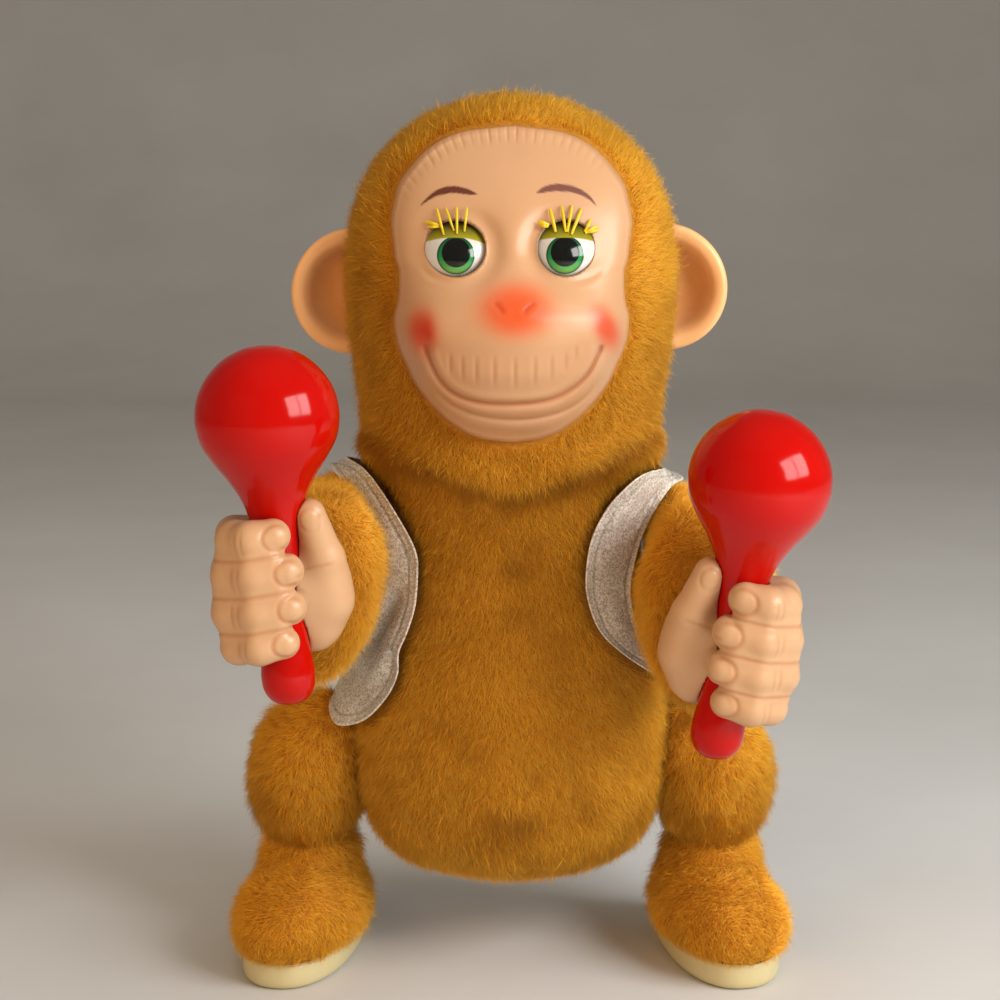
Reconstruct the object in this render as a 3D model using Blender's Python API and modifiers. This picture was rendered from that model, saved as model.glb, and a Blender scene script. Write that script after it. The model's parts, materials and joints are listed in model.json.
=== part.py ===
"""Wind-up plush monkey that shakes two maracas.

A stamped-tin body with a spring movement inside, covered in plush, with a
moulded vinyl face, ears and hands, a silver cloth vest and cream tin soles.
The toy looks along -Y, +Z is up and the soles stand on Z = 0.  Right and left
are the toy's own: its right side is at -X.

All drawing numbers below are in millimetres and are turned into metres by MM.
"""

import math

import bmesh
import bpy
from mathutils import Matrix, Vector

MM = 0.001

# ----------------------------------------------------------------- dimensions
ORIGIN_SHIFT_Y = 13.0          # puts the middle of the toy's outline over the origin
GAP = 0.3                      # gap kept between pieces that touch

TORSO_DEPTH = 0.86             # depth of the torso as a share of its width
PLUSH_WALL = 3.0               # plush cloth with its pile
TIN_WALL = 0.8                 # stamped tin
COLLAR_Z, COLLAR_RISE = 134.0, 0.36   # lowest point of the hood's edge, and how it climbs to each side
HOOD_DEPTH = 0.90
HOOD_Y = 2.0
SKULL_DEPTH = 0.60
SKULL_Y = 4.0

SHOULDER_X, SHOULDER_Z = 44.0, 118.0
ARM_REST_DEG = 6.0             # right arm is this far up at rest, left arm this far down
HAND_REACH = {"right": (11.0, -70.0, -8.0), "left": (8.8, -70.0, -8.0)}   # from the shoulder to the middle of the fist
SLEEVE_FACE_X = 37.4           # inner side of the sleeve beside the torso
MARACA_LEAN = {"right": 3.6, "left": 7.8}     # degrees out to the side
MARACA_TIP = {"right": -0.1, "left": 0.05}     # slope forward (-) or back
BULB_ABOVE_HAND = 40.4
LEVER_LENGTH = 14.2
LEVER_X = 18.0
ROD_X = 19.7
ROD_LENGTH = 13.0
ROCKER_Z = 105.0

ARBOR = (0.0, 70.0)            # x, z of the winding arbor
CRANK = (0.0, 90.0)
GOVERNOR = (13.856, 98.0)
VERGE = (5.02, 106.84)
GREAT_TEETH, CRANK_PINION_TEETH, MODULE_A = 30, 10, 1.0
CRANK_TEETH, GOVERNOR_PINION_TEETH, MODULE_B = 32, 8, 0.8
CRANK_THROW = 2.28

EYE_X, EYE_Z = 13.7, 195.0
FACE_MID_Z = 186.0

TOE_OUT_DEG = 12.0
FOOT_X, FOOT_Y = 57.0, -7.5
LEG_X = 56.0

# ----------------------------------------------------------------- clear scene
for old in list(bpy.data.objects):
    bpy.data.objects.remove(old)

SCENE = bpy.context.scene
PARTS = bpy.data.collections.new("wind_up_monkey")
CUTTERS = bpy.data.collections.new("cutters")
SCENE.collection.children.link(PARTS)
SCENE.collection.children.link(CUTTERS)


def material(name, rgb, rough, metal=0.0):
    m = bpy.data.materials.new(name)
    m.use_nodes = True
    p = m.node_tree.nodes["Principled BSDF"]
    p.inputs["Base Color"].default_value = (*rgb, 1.0)
    p.inputs["Roughness"].default_value = rough
    p.inputs["Metallic"].default_value = metal
    m.diffuse_color = (*rgb, 1.0)
    return m


PLUSH = material("golden_plush", (0.50, 0.26, 0.05), 0.95)
VINYL = material("skin_vinyl", (0.80, 0.46, 0.25), 0.42)
EYE = material("eye_plastic", (0.85, 0.85, 0.82), 0.15)
LASH = material("lash_plastic", (0.80, 0.68, 0.02), 0.45)
RED = material("red_plastic", (0.70, 0.02, 0.012), 0.12)
SILVER = material("silver_cloth", (0.62, 0.60, 0.56), 0.45, 0.6)
CREAM = material("cream_paint", (0.80, 0.71, 0.44), 0.4)
TIN = material("bare_tin", (0.62, 0.62, 0.60), 0.35, 0.9)
STEEL = material("steel", (0.55, 0.55, 0.56), 0.3, 1.0)
BRASS = material("brass", (0.72, 0.52, 0.20), 0.3, 1.0)
SPRING = material("spring_steel", (0.28, 0.32, 0.42), 0.35, 1.0)
SKULL = material("head_core", (0.55, 0.48, 0.38), 0.6)


# -------------------------------------------------------------------- helpers
def mm(p):
    return Vector(p) * MM


def empty(name, at, parent=None, rotation=(0.0, 0.0, 0.0)):
    e = bpy.data.objects.new(name, None)
    e.empty_display_size = 5 * MM
    PARTS.objects.link(e)
    e.location = mm(at)
    e.rotation_euler = rotation
    e.parent = parent
    return e


TOY = empty("toy_origin", (0.0, ORIGIN_SHIFT_Y, 0.0))


def hide(obj):
    obj.hide_render = True
    obj.display_type = "WIRE"
    return obj


def show(obj, name, mat, parent=TOY, sharp=35):
    """Puts a finished shape among the parts, under its name, finish and parent."""
    obj.name = name
    for c in list(obj.users_collection):
        c.objects.unlink(obj)
    PARTS.objects.link(obj)
    obj.hide_render = False
    obj.display_type = "TEXTURED"
    obj.parent = parent
    obj.data.materials.clear()
    obj.data.materials.append(mat)
    if obj.type == "MESH":
        obj.data.shade_smooth()
        obj.data.set_sharp_from_angle(angle=math.radians(sharp))
    return obj


def helper(name, data):
    obj = bpy.data.objects.new(name, data)
    CUTTERS.objects.link(obj)
    return hide(obj)


def realise(obj):
    """The object with its modifiers applied, or its curve filled, as a welded mesh."""
    bpy.context.view_layer.update()
    graph = bpy.context.evaluated_depsgraph_get()
    mesh = bpy.data.meshes.new_from_object(obj.evaluated_get(graph))
    bm = bmesh.new()
    bm.from_mesh(mesh)
    bmesh.ops.remove_doubles(bm, verts=bm.verts, dist=2e-6)
    if obj.type == "CURVE":
        bmesh.ops.recalc_face_normals(bm, faces=bm.faces)
    bm.to_mesh(mesh)
    bm.free()
    name = obj.name
    new = helper(name + "_mesh", mesh)
    new.matrix_world = obj.matrix_world.copy()
    bpy.data.objects.remove(obj)
    return new


def from_bmesh(name, bm):
    mesh = bpy.data.meshes.new(name)
    bmesh.ops.recalc_face_normals(bm, faces=bm.faces)
    bm.to_mesh(mesh)
    bm.free()
    return helper(name, mesh)


def boolean(obj, tool, operation="DIFFERENCE"):
    """Cuts tool from obj, or joins it, and applies the result."""
    b = obj.modifiers.new(operation.lower(), "BOOLEAN")
    b.operation = operation
    b.object = tool
    b.solver = "EXACT"
    return realise(obj)


def place(obj, matrix):
    """Moves a shape's own points, so that its origin stays on its parent's."""
    obj.data.transform(matrix)
    obj.data.update()
    return obj


def shift(obj, at):
    return place(obj, Matrix.Translation(mm(at)))


def turned(name, profile, steps=24, depth=1.0):
    """A profile of (radius, height) turned about Z, then drawn in along Y by depth."""
    mesh = bpy.data.meshes.new(name)
    points = [(r * MM, 0.0, z * MM) for r, z in profile]
    edges = [(i, i + 1) for i in range(len(points) - 1)]
    if profile[0][0] > 0 and profile[-1][0] > 0:
        edges.append((len(points) - 1, 0))
    mesh.from_pydata(points, edges, [])
    obj = helper(name, mesh)
    s = obj.modifiers.new("turn", "SCREW")
    s.axis = "Z"
    s.angle = 2 * math.pi
    s.steps = s.render_steps = steps
    s.use_merge_vertices = True
    s.merge_threshold = 1e-5
    obj = realise(obj)
    return place(obj, Matrix.Diagonal((1.0, depth, 1.0, 1.0)))


def offset(profile, by):
    """The profile moved inwards by a distance, along its own normals."""
    moved = []
    n = len(profile)
    for i, (r, z) in enumerate(profile):
        a, b = profile[max(i - 1, 0)], profile[min(i + 1, n - 1)]
        t = Vector((b[0] - a[0], b[1] - a[1])).normalized()
        normal = Vector((-t.y, t.x))          # outwards, for a line that runs down
        moved.append((max(r - normal.x * by, 0.0) if r > 0 else 0.0, z - normal.y * by))
    return moved


def cylinder(name, radius, length, axis, at, steps=20):
    """A cylinder of that length centred at a point, along X, Y or Z."""
    bm = bmesh.new()
    bmesh.ops.create_cone(bm, cap_ends=True, segments=steps, radius1=radius * MM,
                          radius2=radius * MM, depth=length * MM)
    turn = {"X": Matrix.Rotation(math.pi / 2, 4, "Y"),
            "Y": Matrix.Rotation(math.pi / 2, 4, "X"),
            "Z": Matrix.Identity(4)}[axis]
    bmesh.ops.transform(bm, matrix=Matrix.Translation(mm(at)) @ turn, verts=bm.verts)
    return from_bmesh(name, bm)


def pipe(name, outer, inner, length, axis, at, steps=20):
    """A ring or bush about Z, X or Y, from a closed turned profile."""
    h = length / 2
    obj = turned(name, [(outer, h), (outer, -h), (inner, -h), (inner, h)], steps)
    turn = {"X": Matrix.Rotation(math.pi / 2, 4, "Y"),
            "Y": Matrix.Rotation(math.pi / 2, 4, "X"),
            "Z": Matrix.Identity(4)}[axis]
    return place(obj, Matrix.Translation(mm(at)) @ turn)


def box(name, low, high):
    bm = bmesh.new()
    bmesh.ops.create_cube(bm, size=1.0)
    size = [(b - a) * MM for a, b in zip(low, high)]
    mid = [(a + b) / 2 * MM for a, b in zip(low, high)]
    bmesh.ops.transform(bm, matrix=Matrix.Translation(mid) @ Matrix.Diagonal((*size, 1.0)),
                        verts=bm.verts)
    return from_bmesh(name, bm)


def ellipsoid(name, at, semi, u=20, v=12, turn_z=0.0):
    bm = bmesh.new()
    bmesh.ops.create_uvsphere(bm, u_segments=u, v_segments=v, radius=1.0)
    m = (Matrix.Translation(mm(at)) @ Matrix.Rotation(turn_z, 4, "Z")
         @ Matrix.Diagonal((semi[0] * MM, semi[1] * MM, semi[2] * MM, 1.0)))
    bmesh.ops.transform(bm, matrix=m, verts=bm.verts)
    return from_bmesh(name, bm)


XZ = Matrix(((1, 0, 0, 0), (0, 0, -1, 0), (0, 1, 0, 0), (0, 0, 0, 1)))   # flat outline faces along Y
YZ = Matrix(((0, 0, 1, 0), (1, 0, 0, 0), (0, 1, 0, 0), (0, 0, 0, 1)))    # flat outline faces along X
XY = Matrix.Identity(4)


def flat(name, loops, thickness, plane=XY, at=(0.0, 0.0, 0.0)):
    """A flat outline, with holes, given a thickness centred on its plane."""
    curve = bpy.data.curves.new(name, "CURVE")
    curve.dimensions = "2D"
    curve.fill_mode = "BOTH"
    curve.extrude = thickness / 2 * MM
    for loop in loops:
        s = curve.splines.new("POLY")
        s.points.add(len(loop) - 1)
        for p, (x, y) in zip(s.points, loop):
            p.co = (x * MM, y * MM, 0.0, 1.0)
        s.use_cyclic_u = True
    obj = realise(helper(name, curve))
    return place(obj, Matrix.Translation(mm(at)) @ plane)


def circle(radius, at=(0.0, 0.0), steps=16, start=0.0):
    return [(at[0] + radius * math.cos(start + 2 * math.pi * i / steps),
             at[1] + radius * math.sin(start + 2 * math.pi * i / steps)) for i in range(steps)]


def tube(name, points, radius, resolution=2):
    """A rod or wire along a line of points."""
    curve = bpy.data.curves.new(name, "CURVE")
    curve.dimensions = "3D"
    curve.bevel_depth = radius * MM
    curve.bevel_resolution = resolution
    curve.use_fill_caps = True
    s = curve.splines.new("POLY")
    s.points.add(len(points) - 1)
    for p, at in zip(s.points, points):
        p.co = (*mm(at), 1.0)
    return realise(helper(name, curve))


def rounded_path(points, radius, steps=5):
    """A line of points with each inner corner replaced by an arc-like bend."""
    points = [Vector(p) for p in points]
    out = [points[0]]
    for a, b, c in zip(points, points[1:], points[2:]):
        r = min(radius, (a - b).length * 0.49, (c - b).length * 0.49)
        p, q = b + (a - b).normalized() * r, b + (c - b).normalized() * r
        for i in range(steps + 1):
            t = i / steps
            out.append(p * (1 - t) ** 2 + b * 2 * t * (1 - t) + q * t * t)
    out.append(points[-1])
    return [tuple(p) for p in out]


def between(table, at):
    """Straight-line reading of a table of (place, value), rising by place."""
    if at <= table[0][0]:
        return table[0][1]
    for (a, va), (b, vb) in zip(table, table[1:]):
        if at <= b:
            return va + (vb - va) * (at - a) / (b - a)
    return table[-1][1]


# ------------------------------------------------------------- shape profiles
# Outside of the plush torso: (half width, height), from the collar down.
TORSO = [(40.6, 147.0), (41.0, 143.0), (40.2, 139.0), (38.3, 135.3), (36.3, 131.0), (35.5, 126.0),
         (35.2, 120.0), (35.1, 113.0), (36.3, 103.0), (38.0, 93.0), (40.1, 83.0), (41.9, 73.0),
         (42.7, 64.0), (42.6, 54.0), (41.2, 44.0), (37.6, 35.0), (31.0, 29.0), (19.0, 25.2), (0.0, 24.0)]
# Outside of the plush hood: (half width, height), from the crown down.
HOOD = [(0.0, 233.0), (9.5, 232.2), (18.0, 229.6), (26.0, 225.2), (33.0, 219.0), (38.4, 211.0),
        (42.0, 201.5), (43.5, 190.0), (43.2, 177.0), (42.2, 164.0), (41.4, 151.0), (39.4, 141.0),
        (35.8, 132.2)]
# Half width of the vinyl face at each height, and its depth on the middle line.
FACE_WIDTH = [(146.0, 0.0), (147.0, 7.5), (150.8, 15.2), (156.8, 21.6), (162.5, 25.5), (164.8, 26.4),
              (168.3, 28.1), (173.3, 29.6), (177.5, 29.9), (181.5, 28.9), (185.7, 28.5), (190.0, 28.6),
              (192.0, 29.4), (196.2, 29.9), (201.5, 30.5), (207.2, 29.5), (209.9, 28.9), (214.9, 25.6),
              (220.4, 20.1), (224.0, 12.2), (225.5, 0.0)]
FACE_DEPTH = [(146.0, -34.0), (147.5, -39.0), (151.0, -45.0), (156.0, -48.0), (160.0, -49.5), (166.0, -51.0),
              (172.0, -51.0), (178.0, -49.8), (182.0, -47.8), (186.0, -45.2), (190.0, -42.5), (194.0, -40.4),
              (198.0, -39.2), (204.0, -38.0), (210.0, -36.0), (216.0, -32.6), (222.0, -27.0), (225.5, -21.0)]
# Maraca: (radius, height above the middle of the bulb).
MARACA_BULB = [(0.0, 17.0), (6.7, 15.6), (12.2, 11.8), (15.9, 6.1), (17.0, 0.0), (16.0, -5.5), (13.6, -9.8),
               (10.4, -14.4), (7.9, -18.8), (6.4, -23.0), (5.3, -28.5), (4.8, -36.0)]
MARACA_HANDLE = [(4.75, -36.3), (4.8, -42.0), (5.1, -49.0), (5.8, -56.0), (6.5, -61.4), (6.1, -65.4),
                 (4.1, -68.3), (0.0, -69.4)]


def hood_half_width(z):
    return between([(h, r) for r, h in reversed(HOOD)], z)


def face_edge_depth(x, z):
    a = hood_half_width(z)
    return HOOD_Y - HOOD_DEPTH * math.sqrt(max(a * a - x * x, 0.0))


# ------------------------------------------------------------ torso and covers
CORE = [TORSO[i] for i in (0, 2, 4, 6, 8, 11, 13, 14, 15, 16, 17, 18)]     # coarser line for what is inside
torso = turned("torso", list(reversed(offset(CORE, PLUSH_WALL))) + TORSO, 24, TORSO_DEPTH)

tin_line = [(16.2, 134.6), (23.5, 133.4), (29.3, 128.8)] + offset(CORE, PLUSH_WALL + GAP)[3:]
tin_in = offset(tin_line, TIN_WALL)
tin_in[0] = (tin_line[0][0], tin_line[0][1] - TIN_WALL)
tin = turned("tin", list(reversed(tin_in)) + tin_line, 24, TORSO_DEPTH)

neck_at = (0.0, 2.0, 143.0)
shoulder_hole = cylinder("shoulder_hole", 4.3, 160, "X", (0, 0, SHOULDER_Z), 16)
plush_shoulder_hole = cylinder("plush_shoulder_hole", 4.9, 160, "X", (0, 0, SHOULDER_Z), 16)
key_hole = cylinder("key_hole", 4.4, 40, "Y", (ARBOR[0], 40, ARBOR[1]), 16)

leg_paths = {}
for side, s in (("right", -1), ("left", 1)):
    leg_paths[side] = rounded_path([(s * LEG_X, 4, 1.2), (s * LEG_X, 4, 46.0), (s * 36.3, 4, 46.0)], 9.0)
leg_bores = {side: tube(side + "_leg_bore", [(p[0], p[1], p[2] - (6 if i == 0 else 0))
                                             for i, p in enumerate(path)], 2.0)
             for side, path in leg_paths.items()}

# the hood ends in a shallow V under the chin, and the torso's collar rises beside it to meet that edge
collar_top = [(0.0, COLLAR_Z - 0.6), (80.0, COLLAR_Z - 0.6 + 80 * COLLAR_RISE), (80.0, 250.0), (-80.0, 250.0),
              (-80.0, COLLAR_Z - 0.6 + 80 * COLLAR_RISE)]
torso = boolean(torso, flat("collar_top", [collar_top], 160.0, XZ))
torso = boolean(torso, plush_shoulder_hole)
torso = boolean(torso, key_hole)
tin = boolean(tin, shoulder_hole)
tin = boolean(tin, key_hole)
for side in ("right", "left"):
    torso = boolean(torso, leg_bores[side])
    tin = boolean(tin, leg_bores[side])
show(torso, "torso_plush", PLUSH)

seam = GAP / 2
tin_copy = helper("tin_copy", tin.data.copy())
show(boolean(tin, box("back_half", (-60, -seam, 0), (60, 60, 160))), "tin_body_front", TIN)
show(boolean(tin_copy, box("front_half", (-60, -60, 0), (60, seam, 160))), "tin_body_back", TIN)

show(pipe("neck", 10.6, 9.8, 28.0, "Z", neck_at), "neck_tube", TIN)

# Silver vest: a thin band round the torso, open down the front and at the arms.
body_top = [(35.8, 127.6), (35.2, 113.0), (38.2, 93.0), (41.75, 74.0)]
vest_out = offset(body_top, -1.9)
vest_in = offset(body_top, -1.0)
vest = turned("vest", vest_out + list(reversed(vest_in)), 32, TORSO_DEPTH)
FRONT_EDGE = [(30.5, 140.0), (29.0, 128.0), (24.5, 118.0), (22.0, 110.0), (21.5, 102.0), (23.0, 95.0),
              (26.0, 88.0), (29.0, 80.0), (31.0, 70.0)]
front = FRONT_EDGE + [(-x, z) for x, z in reversed(FRONT_EDGE)]
vest = boolean(vest, flat("vest_front", [front], 60.0, XZ, (0, -32, 0)))
for s in (-1, 1):
    vest = boolean(vest, cylinder("armhole", 19.0, 40, "X", (s * 40, 0, SHOULDER_Z - 0.5), 24))
show(vest, "vest", SILVER)

# ---------------------------------------------------------------------- head
hood_inner = offset([HOOD[i] for i in (0, 2, 4, 6, 7, 9, 12)], PLUSH_WALL)
hood = turned("hood", HOOD + list(reversed(hood_inner)), 24, HOOD_DEPTH)
shift(hood, (0, HOOD_Y, 0))
opening = [(w + 0.6, z) for z, w in FACE_WIDTH]
opening[0], opening[-1] = (0.0, 145.3), (0.0, 226.2)
ring = opening + [(-x, z) for x, z in reversed(opening[1:-1])]
hood = boolean(hood, flat("face_opening", [ring], 70.0, XZ, (0, -37.0, 0)))
under_collar = [(-80.0, 100.0), (80.0, 100.0), (80.0, COLLAR_Z + 80 * COLLAR_RISE), (0.0, COLLAR_Z),
                (-80.0, COLLAR_Z + 80 * COLLAR_RISE)]
hood = boolean(hood, flat("under_collar", [under_collar], 160.0, XZ))
hood_block = turned("hood_block", offset(HOOD, -0.5)[:-1] + [(36.2, 131.4), (0.0, 131.4)], 24, HOOD_DEPTH)
shift(hood_block, (0, HOOD_Y, 0))

skull_line = [(0.0, 221.0), (20.0, 216.6), (32.0, 205.0), (37.0, 187.0), (37.0, 174.0), (33.0, 159.5), (24.0, 151.0)]
skull = turned("skull", skull_line + list(reversed(offset(skull_line, 1.6))), 18, SKULL_DEPTH)
shift(skull, (0, SKULL_Y, 0))
show(skull, "skull_shell", SKULL)

# Vinyl face: a grid drawn to the face's outline, pushed forward to its depth.
bm = bmesh.new()
bmesh.ops.create_grid(bm, x_segments=12, y_segments=14, size=1.0)


def outline_radius(angle):
    """Distance from the middle of the face to its outline in one direction."""
    dx, dz = math.cos(angle), math.sin(angle)
    low, high = 0.0, 60.0
    for _ in range(40):
        r = (low + high) / 2
        z = FACE_MID_Z + r * dz
        inside = 146.0 < z < 225.5 and abs(r * dx) < between(FACE_WIDTH, z)
        low, high = (r, high) if inside else (low, r)
    return low


for v in bm.verts:
    gx, gy = v.co.x, v.co.y
    px, py = gx * math.sqrt(1 - gy * gy / 2), gy * math.sqrt(1 - gx * gx / 2)
    rho = min(math.hypot(px, py), 1.0)
    angle = math.atan2(py, px)
    reach = outline_radius(angle)
    x, z = rho * reach * math.cos(angle), FACE_MID_Z + rho * reach * math.sin(angle)
    ex, ez = reach * math.cos(angle), FACE_MID_Z + reach * math.sin(angle)
    edge = face_edge_depth(ex, ez)
    mid = min(between(FACE_DEPTH, z), edge)
    y = edge + (mid - edge) * math.sqrt(max(1 - rho ** 2.2, 0.0))
    if rho > 0.999:
        y = edge + 4.0
    v.co = mm((x, y, z))
face = from_bmesh("face", bm)
# the grid's front has to look along -Y
if sum((p.normal.y for p in face.data.polygons)) > 0:
    face.data.flip_normals()
solid = face.modifiers.new("wall", "SOLIDIFY")
solid.thickness = 1.4 * MM
solid.offset = -1.0
face = realise(face)
for s in (-1, 1):
    hole = cylinder("eye_hole", 1.0, 30.0, "Y", (0, 0, 0), 20)
    place(hole, Matrix.Translation(mm((s * EYE_X, -36.0, EYE_Z))) @ Matrix.Diagonal((7.1, 1.0, 6.5, 1.0)))
    face = boolean(face, hole)
show(face, "face_mask", VINYL)

for side, s in (("right", -1), ("left", 1)):
    show(ellipsoid("eye", (s * EYE_X, -28.2, EYE_Z), (8.6, 8.6, 8.6), 14, 8), side + "_eye", EYE)
    # a comb of lashes standing just in front of the upper rim of the eye
    comb = []
    lashes = [(-64, 1.5), (-30, 5.6), (-11, 6.2), (9, 6.2), (28, 5.6), (62, 1.5)]
    base_in, base_out = 5.0, 5.9
    for a, length in lashes:
        tip = base_out + length
        for da, r in ((-8.0, base_out), (-1.6, tip), (1.6, tip), (8.0, base_out)):
            t = math.radians(90 - (a + da))
            comb.append((s * EYE_X + r * math.cos(t), EYE_Z + 0.93 * r * math.sin(t)))
    for i in range(9):
        t = math.radians(90 - (72 - 18 * i))
        comb.append((s * EYE_X + base_in * math.cos(t), EYE_Z + 0.93 * base_in * math.sin(t)))
    show(flat("lashes", [comb], 0.5, XZ, (0, -40.6, 0)), side + "_eyelashes", LASH)

EARS = {"right": (42.0, 5.0, 181.4), "left": (41.2, 5.0, 182.6)}
dish_line = [(0.0, 3.6), (6.0, 3.0), (11.0, 1.2), (14.6, -1.7), (16.0, -4.2), (16.4, -3.0), (16.3, -0.8),
             (14.6, 2.2), (11.0, 4.6), (6.0, 6.0), (0.0, 6.5)]
for side, s in (("right", -1), ("left", 1)):
    EAR = EARS[side]
    dish = turned("ear", list(reversed(dish_line)), 20)
    place(dish, Matrix.Translation(mm((s * EAR[0], EAR[1], EAR[2])))
          @ Matrix.Rotation(-math.pi / 2, 4, "X"))
    dish = boolean(dish, hood_block)
    peg = cylinder("ear_peg", 2.4, 10.6, "X", (s * 43.0, EAR[1] + 5.0, EAR[2]), 12)
    dish = boolean(dish, peg, "UNION")
    show(dish, side + "_ear", VINYL)
    hood = boolean(hood, cylinder("peg_hole", 2.8, 16.0, "X", (s * 41.0, EAR[1] + 5.0, EAR[2]), 12))
show(hood, "hood_plush", PLUSH)

# ---------------------------------------------------------------------- legs
torso_block = turned("torso_block", offset(TORSO, -0.5)[:-1] + [(0.0, 23.4)], 24, TORSO_DEPTH)
torso_block = boolean(torso_block, box("above", (-80, -80, 120), (80, 80, 200)))
for side, s in (("right", -1), ("left", 1)):
    toe = -s * math.radians(TOE_OUT_DEG) * -1
    spin = Matrix.Rotation(toe, 4, "Z")
    foot_at = Matrix.Translation(mm((s * FOOT_X, FOOT_Y, 0.0)))

    def sole_loop(inset):
        pts = []
        for i in range(28):
            t = 2 * math.pi * i / 28
            c, q = math.cos(t), math.sin(t)
            pts.append(((14.4 - inset) * math.copysign(abs(c) ** 0.86, c),
                        (28.0 - inset) * math.copysign(abs(q) ** 0.86, q)))
        return pts

    sole = flat("sole", [sole_loop(0.0)], 7.0, XY, (0, 0, 3.5))
    weld = sole.modifiers.new("weld", "WELD")
    weld.merge_threshold = 1e-5
    bevel = sole.modifiers.new("edge", "BEVEL")
    bevel.width = 2.0 * MM
    bevel.segments = 2
    bevel.limit_method = "WEIGHT"
    weights = sole.data.attributes.new("bevel_weight_edge", "FLOAT", "EDGE")
    for e in sole.data.edges:
        a, b = (sole.data.vertices[i].co for i in e.vertices)
        if a.z < 0.0001 and b.z < 0.0001 and len(
                [p for p in sole.data.polygons if abs(p.normal.z) < 0.5
                 and e.vertices[0] in p.vertices and e.vertices[1] in p.vertices]) == 1:
            weights.data[e.index].value = 1.0
    sole = realise(sole)
    sole = boolean(sole, flat("sole_pan", [sole_loop(1.2)], 8.0, XY, (0, 0, 5.0)))
    place(sole, foot_at @ spin)
    show(sole, side + "_sole", CREAM)

    foot = ellipsoid("foot", (0, -1.0, 12.5), (17.3, 29.5, 14.2), 18, 12)
    place(foot, foot_at @ spin)
    ankle = turned("ankle", [(0.0, 30.0), (14.8, 30.0), (15.4, 22.0), (15.0, 12.0), (0.0, 12.0)], 18)
    shift(ankle, (s * LEG_X, 3.0, 0.0))
    foot = boolean(foot, ankle, "UNION")
    foot = boolean(foot, box("under", (-120, -80, -20), (120, 80, 7.3)))
    foot = boolean(foot, box("over", (-120, -80, 28.0), (120, 80, 60)))
    foot = boolean(foot, leg_bores[side])
    show(foot, side + "_boot", PLUSH)

    thigh = ellipsoid("thigh", (s * LEG_X, 3.0, 48.0), (16.4, 19.0, 21.5), 18, 12)
    thigh = boolean(thigh, torso_block)
    thigh = boolean(thigh, box("under", (-120, -80, 0), (120, 80, 28.4)))
    thigh = boolean(thigh, leg_bores[side])
    show(thigh, side + "_thigh", PLUSH)

    show(tube("leg_post", leg_paths[side], 1.5), side + "_leg_post", STEEL)

# ---------------------------------------------------------------------- arms
# Sleeve: at each distance along the arm, how far it reaches up, down and outwards.
SLEEVE = [(-15.0, 2.2, 2.2, 2.2), (-12.6, 8.4, 8.4, 8.4), (-8.0, 13.0, 13.2, 13.0), (0.0, 15.2, 16.2, 15.4),
          (12.0, 15.8, 20.6, 16.4), (24.0, 16.2, 25.2, 17.0), (35.0, 16.4, 28.0, 17.2), (44.0, 16.0, 27.6, 17.0),
          (50.5, 14.6, 24.6, 15.8), (54.6, 12.0, 19.4, 13.2), (56.8, 8.2, 12.4, 9.0)]
# How far the sleeve's inner side stands from the toy's middle plane at each distance along the arm.
SLEEVE_INSIDE = [(0.0, SLEEVE_FACE_X), (20.0, SLEEVE_FACE_X), (28.0, 35.6), (36.0, 33.6), (46.0, 33.8), (51.0, 35.4)]


def sleeve_shape(s, hand):
    """A stuffed sleeve: rounded sections along the arm, flattened on the side next to the torso."""
    along = hand.normalized()
    side_on = (Vector((1, 0, 0)) - along * along.x).normalized()
    upright = along.cross(side_on) * -1
    if upright.z < 0:
        upright = -upright
    bm = bmesh.new()
    rings = []
    count = 20
    for t, top, low, out in SLEEVE:
        middle = along * t
        inside = min(max(SHOULDER_X + s * middle.x - between(SLEEVE_INSIDE, t), 1.5), out)
        ring = []
        for i in range(count):
            a = 2 * math.pi * i / count
            c, q = math.cos(a), math.sin(a)
            x = c * (out if c > 0 else inside)
            ring.append(bm.verts.new(mm(middle + side_on * (s * x) + upright * (q * (top if q > 0 else low)))))
        rings.append(ring)
    for one, two in zip(rings, rings[1:]):
        for i in range(count):
            j = (i + 1) % count
            bm.faces.new((one[i], one[j], two[j], two[i]))
    bm.faces.new(list(reversed(rings[0])))
    bm.faces.new(rings[-1])
    return from_bmesh("sleeve", bm)


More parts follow.
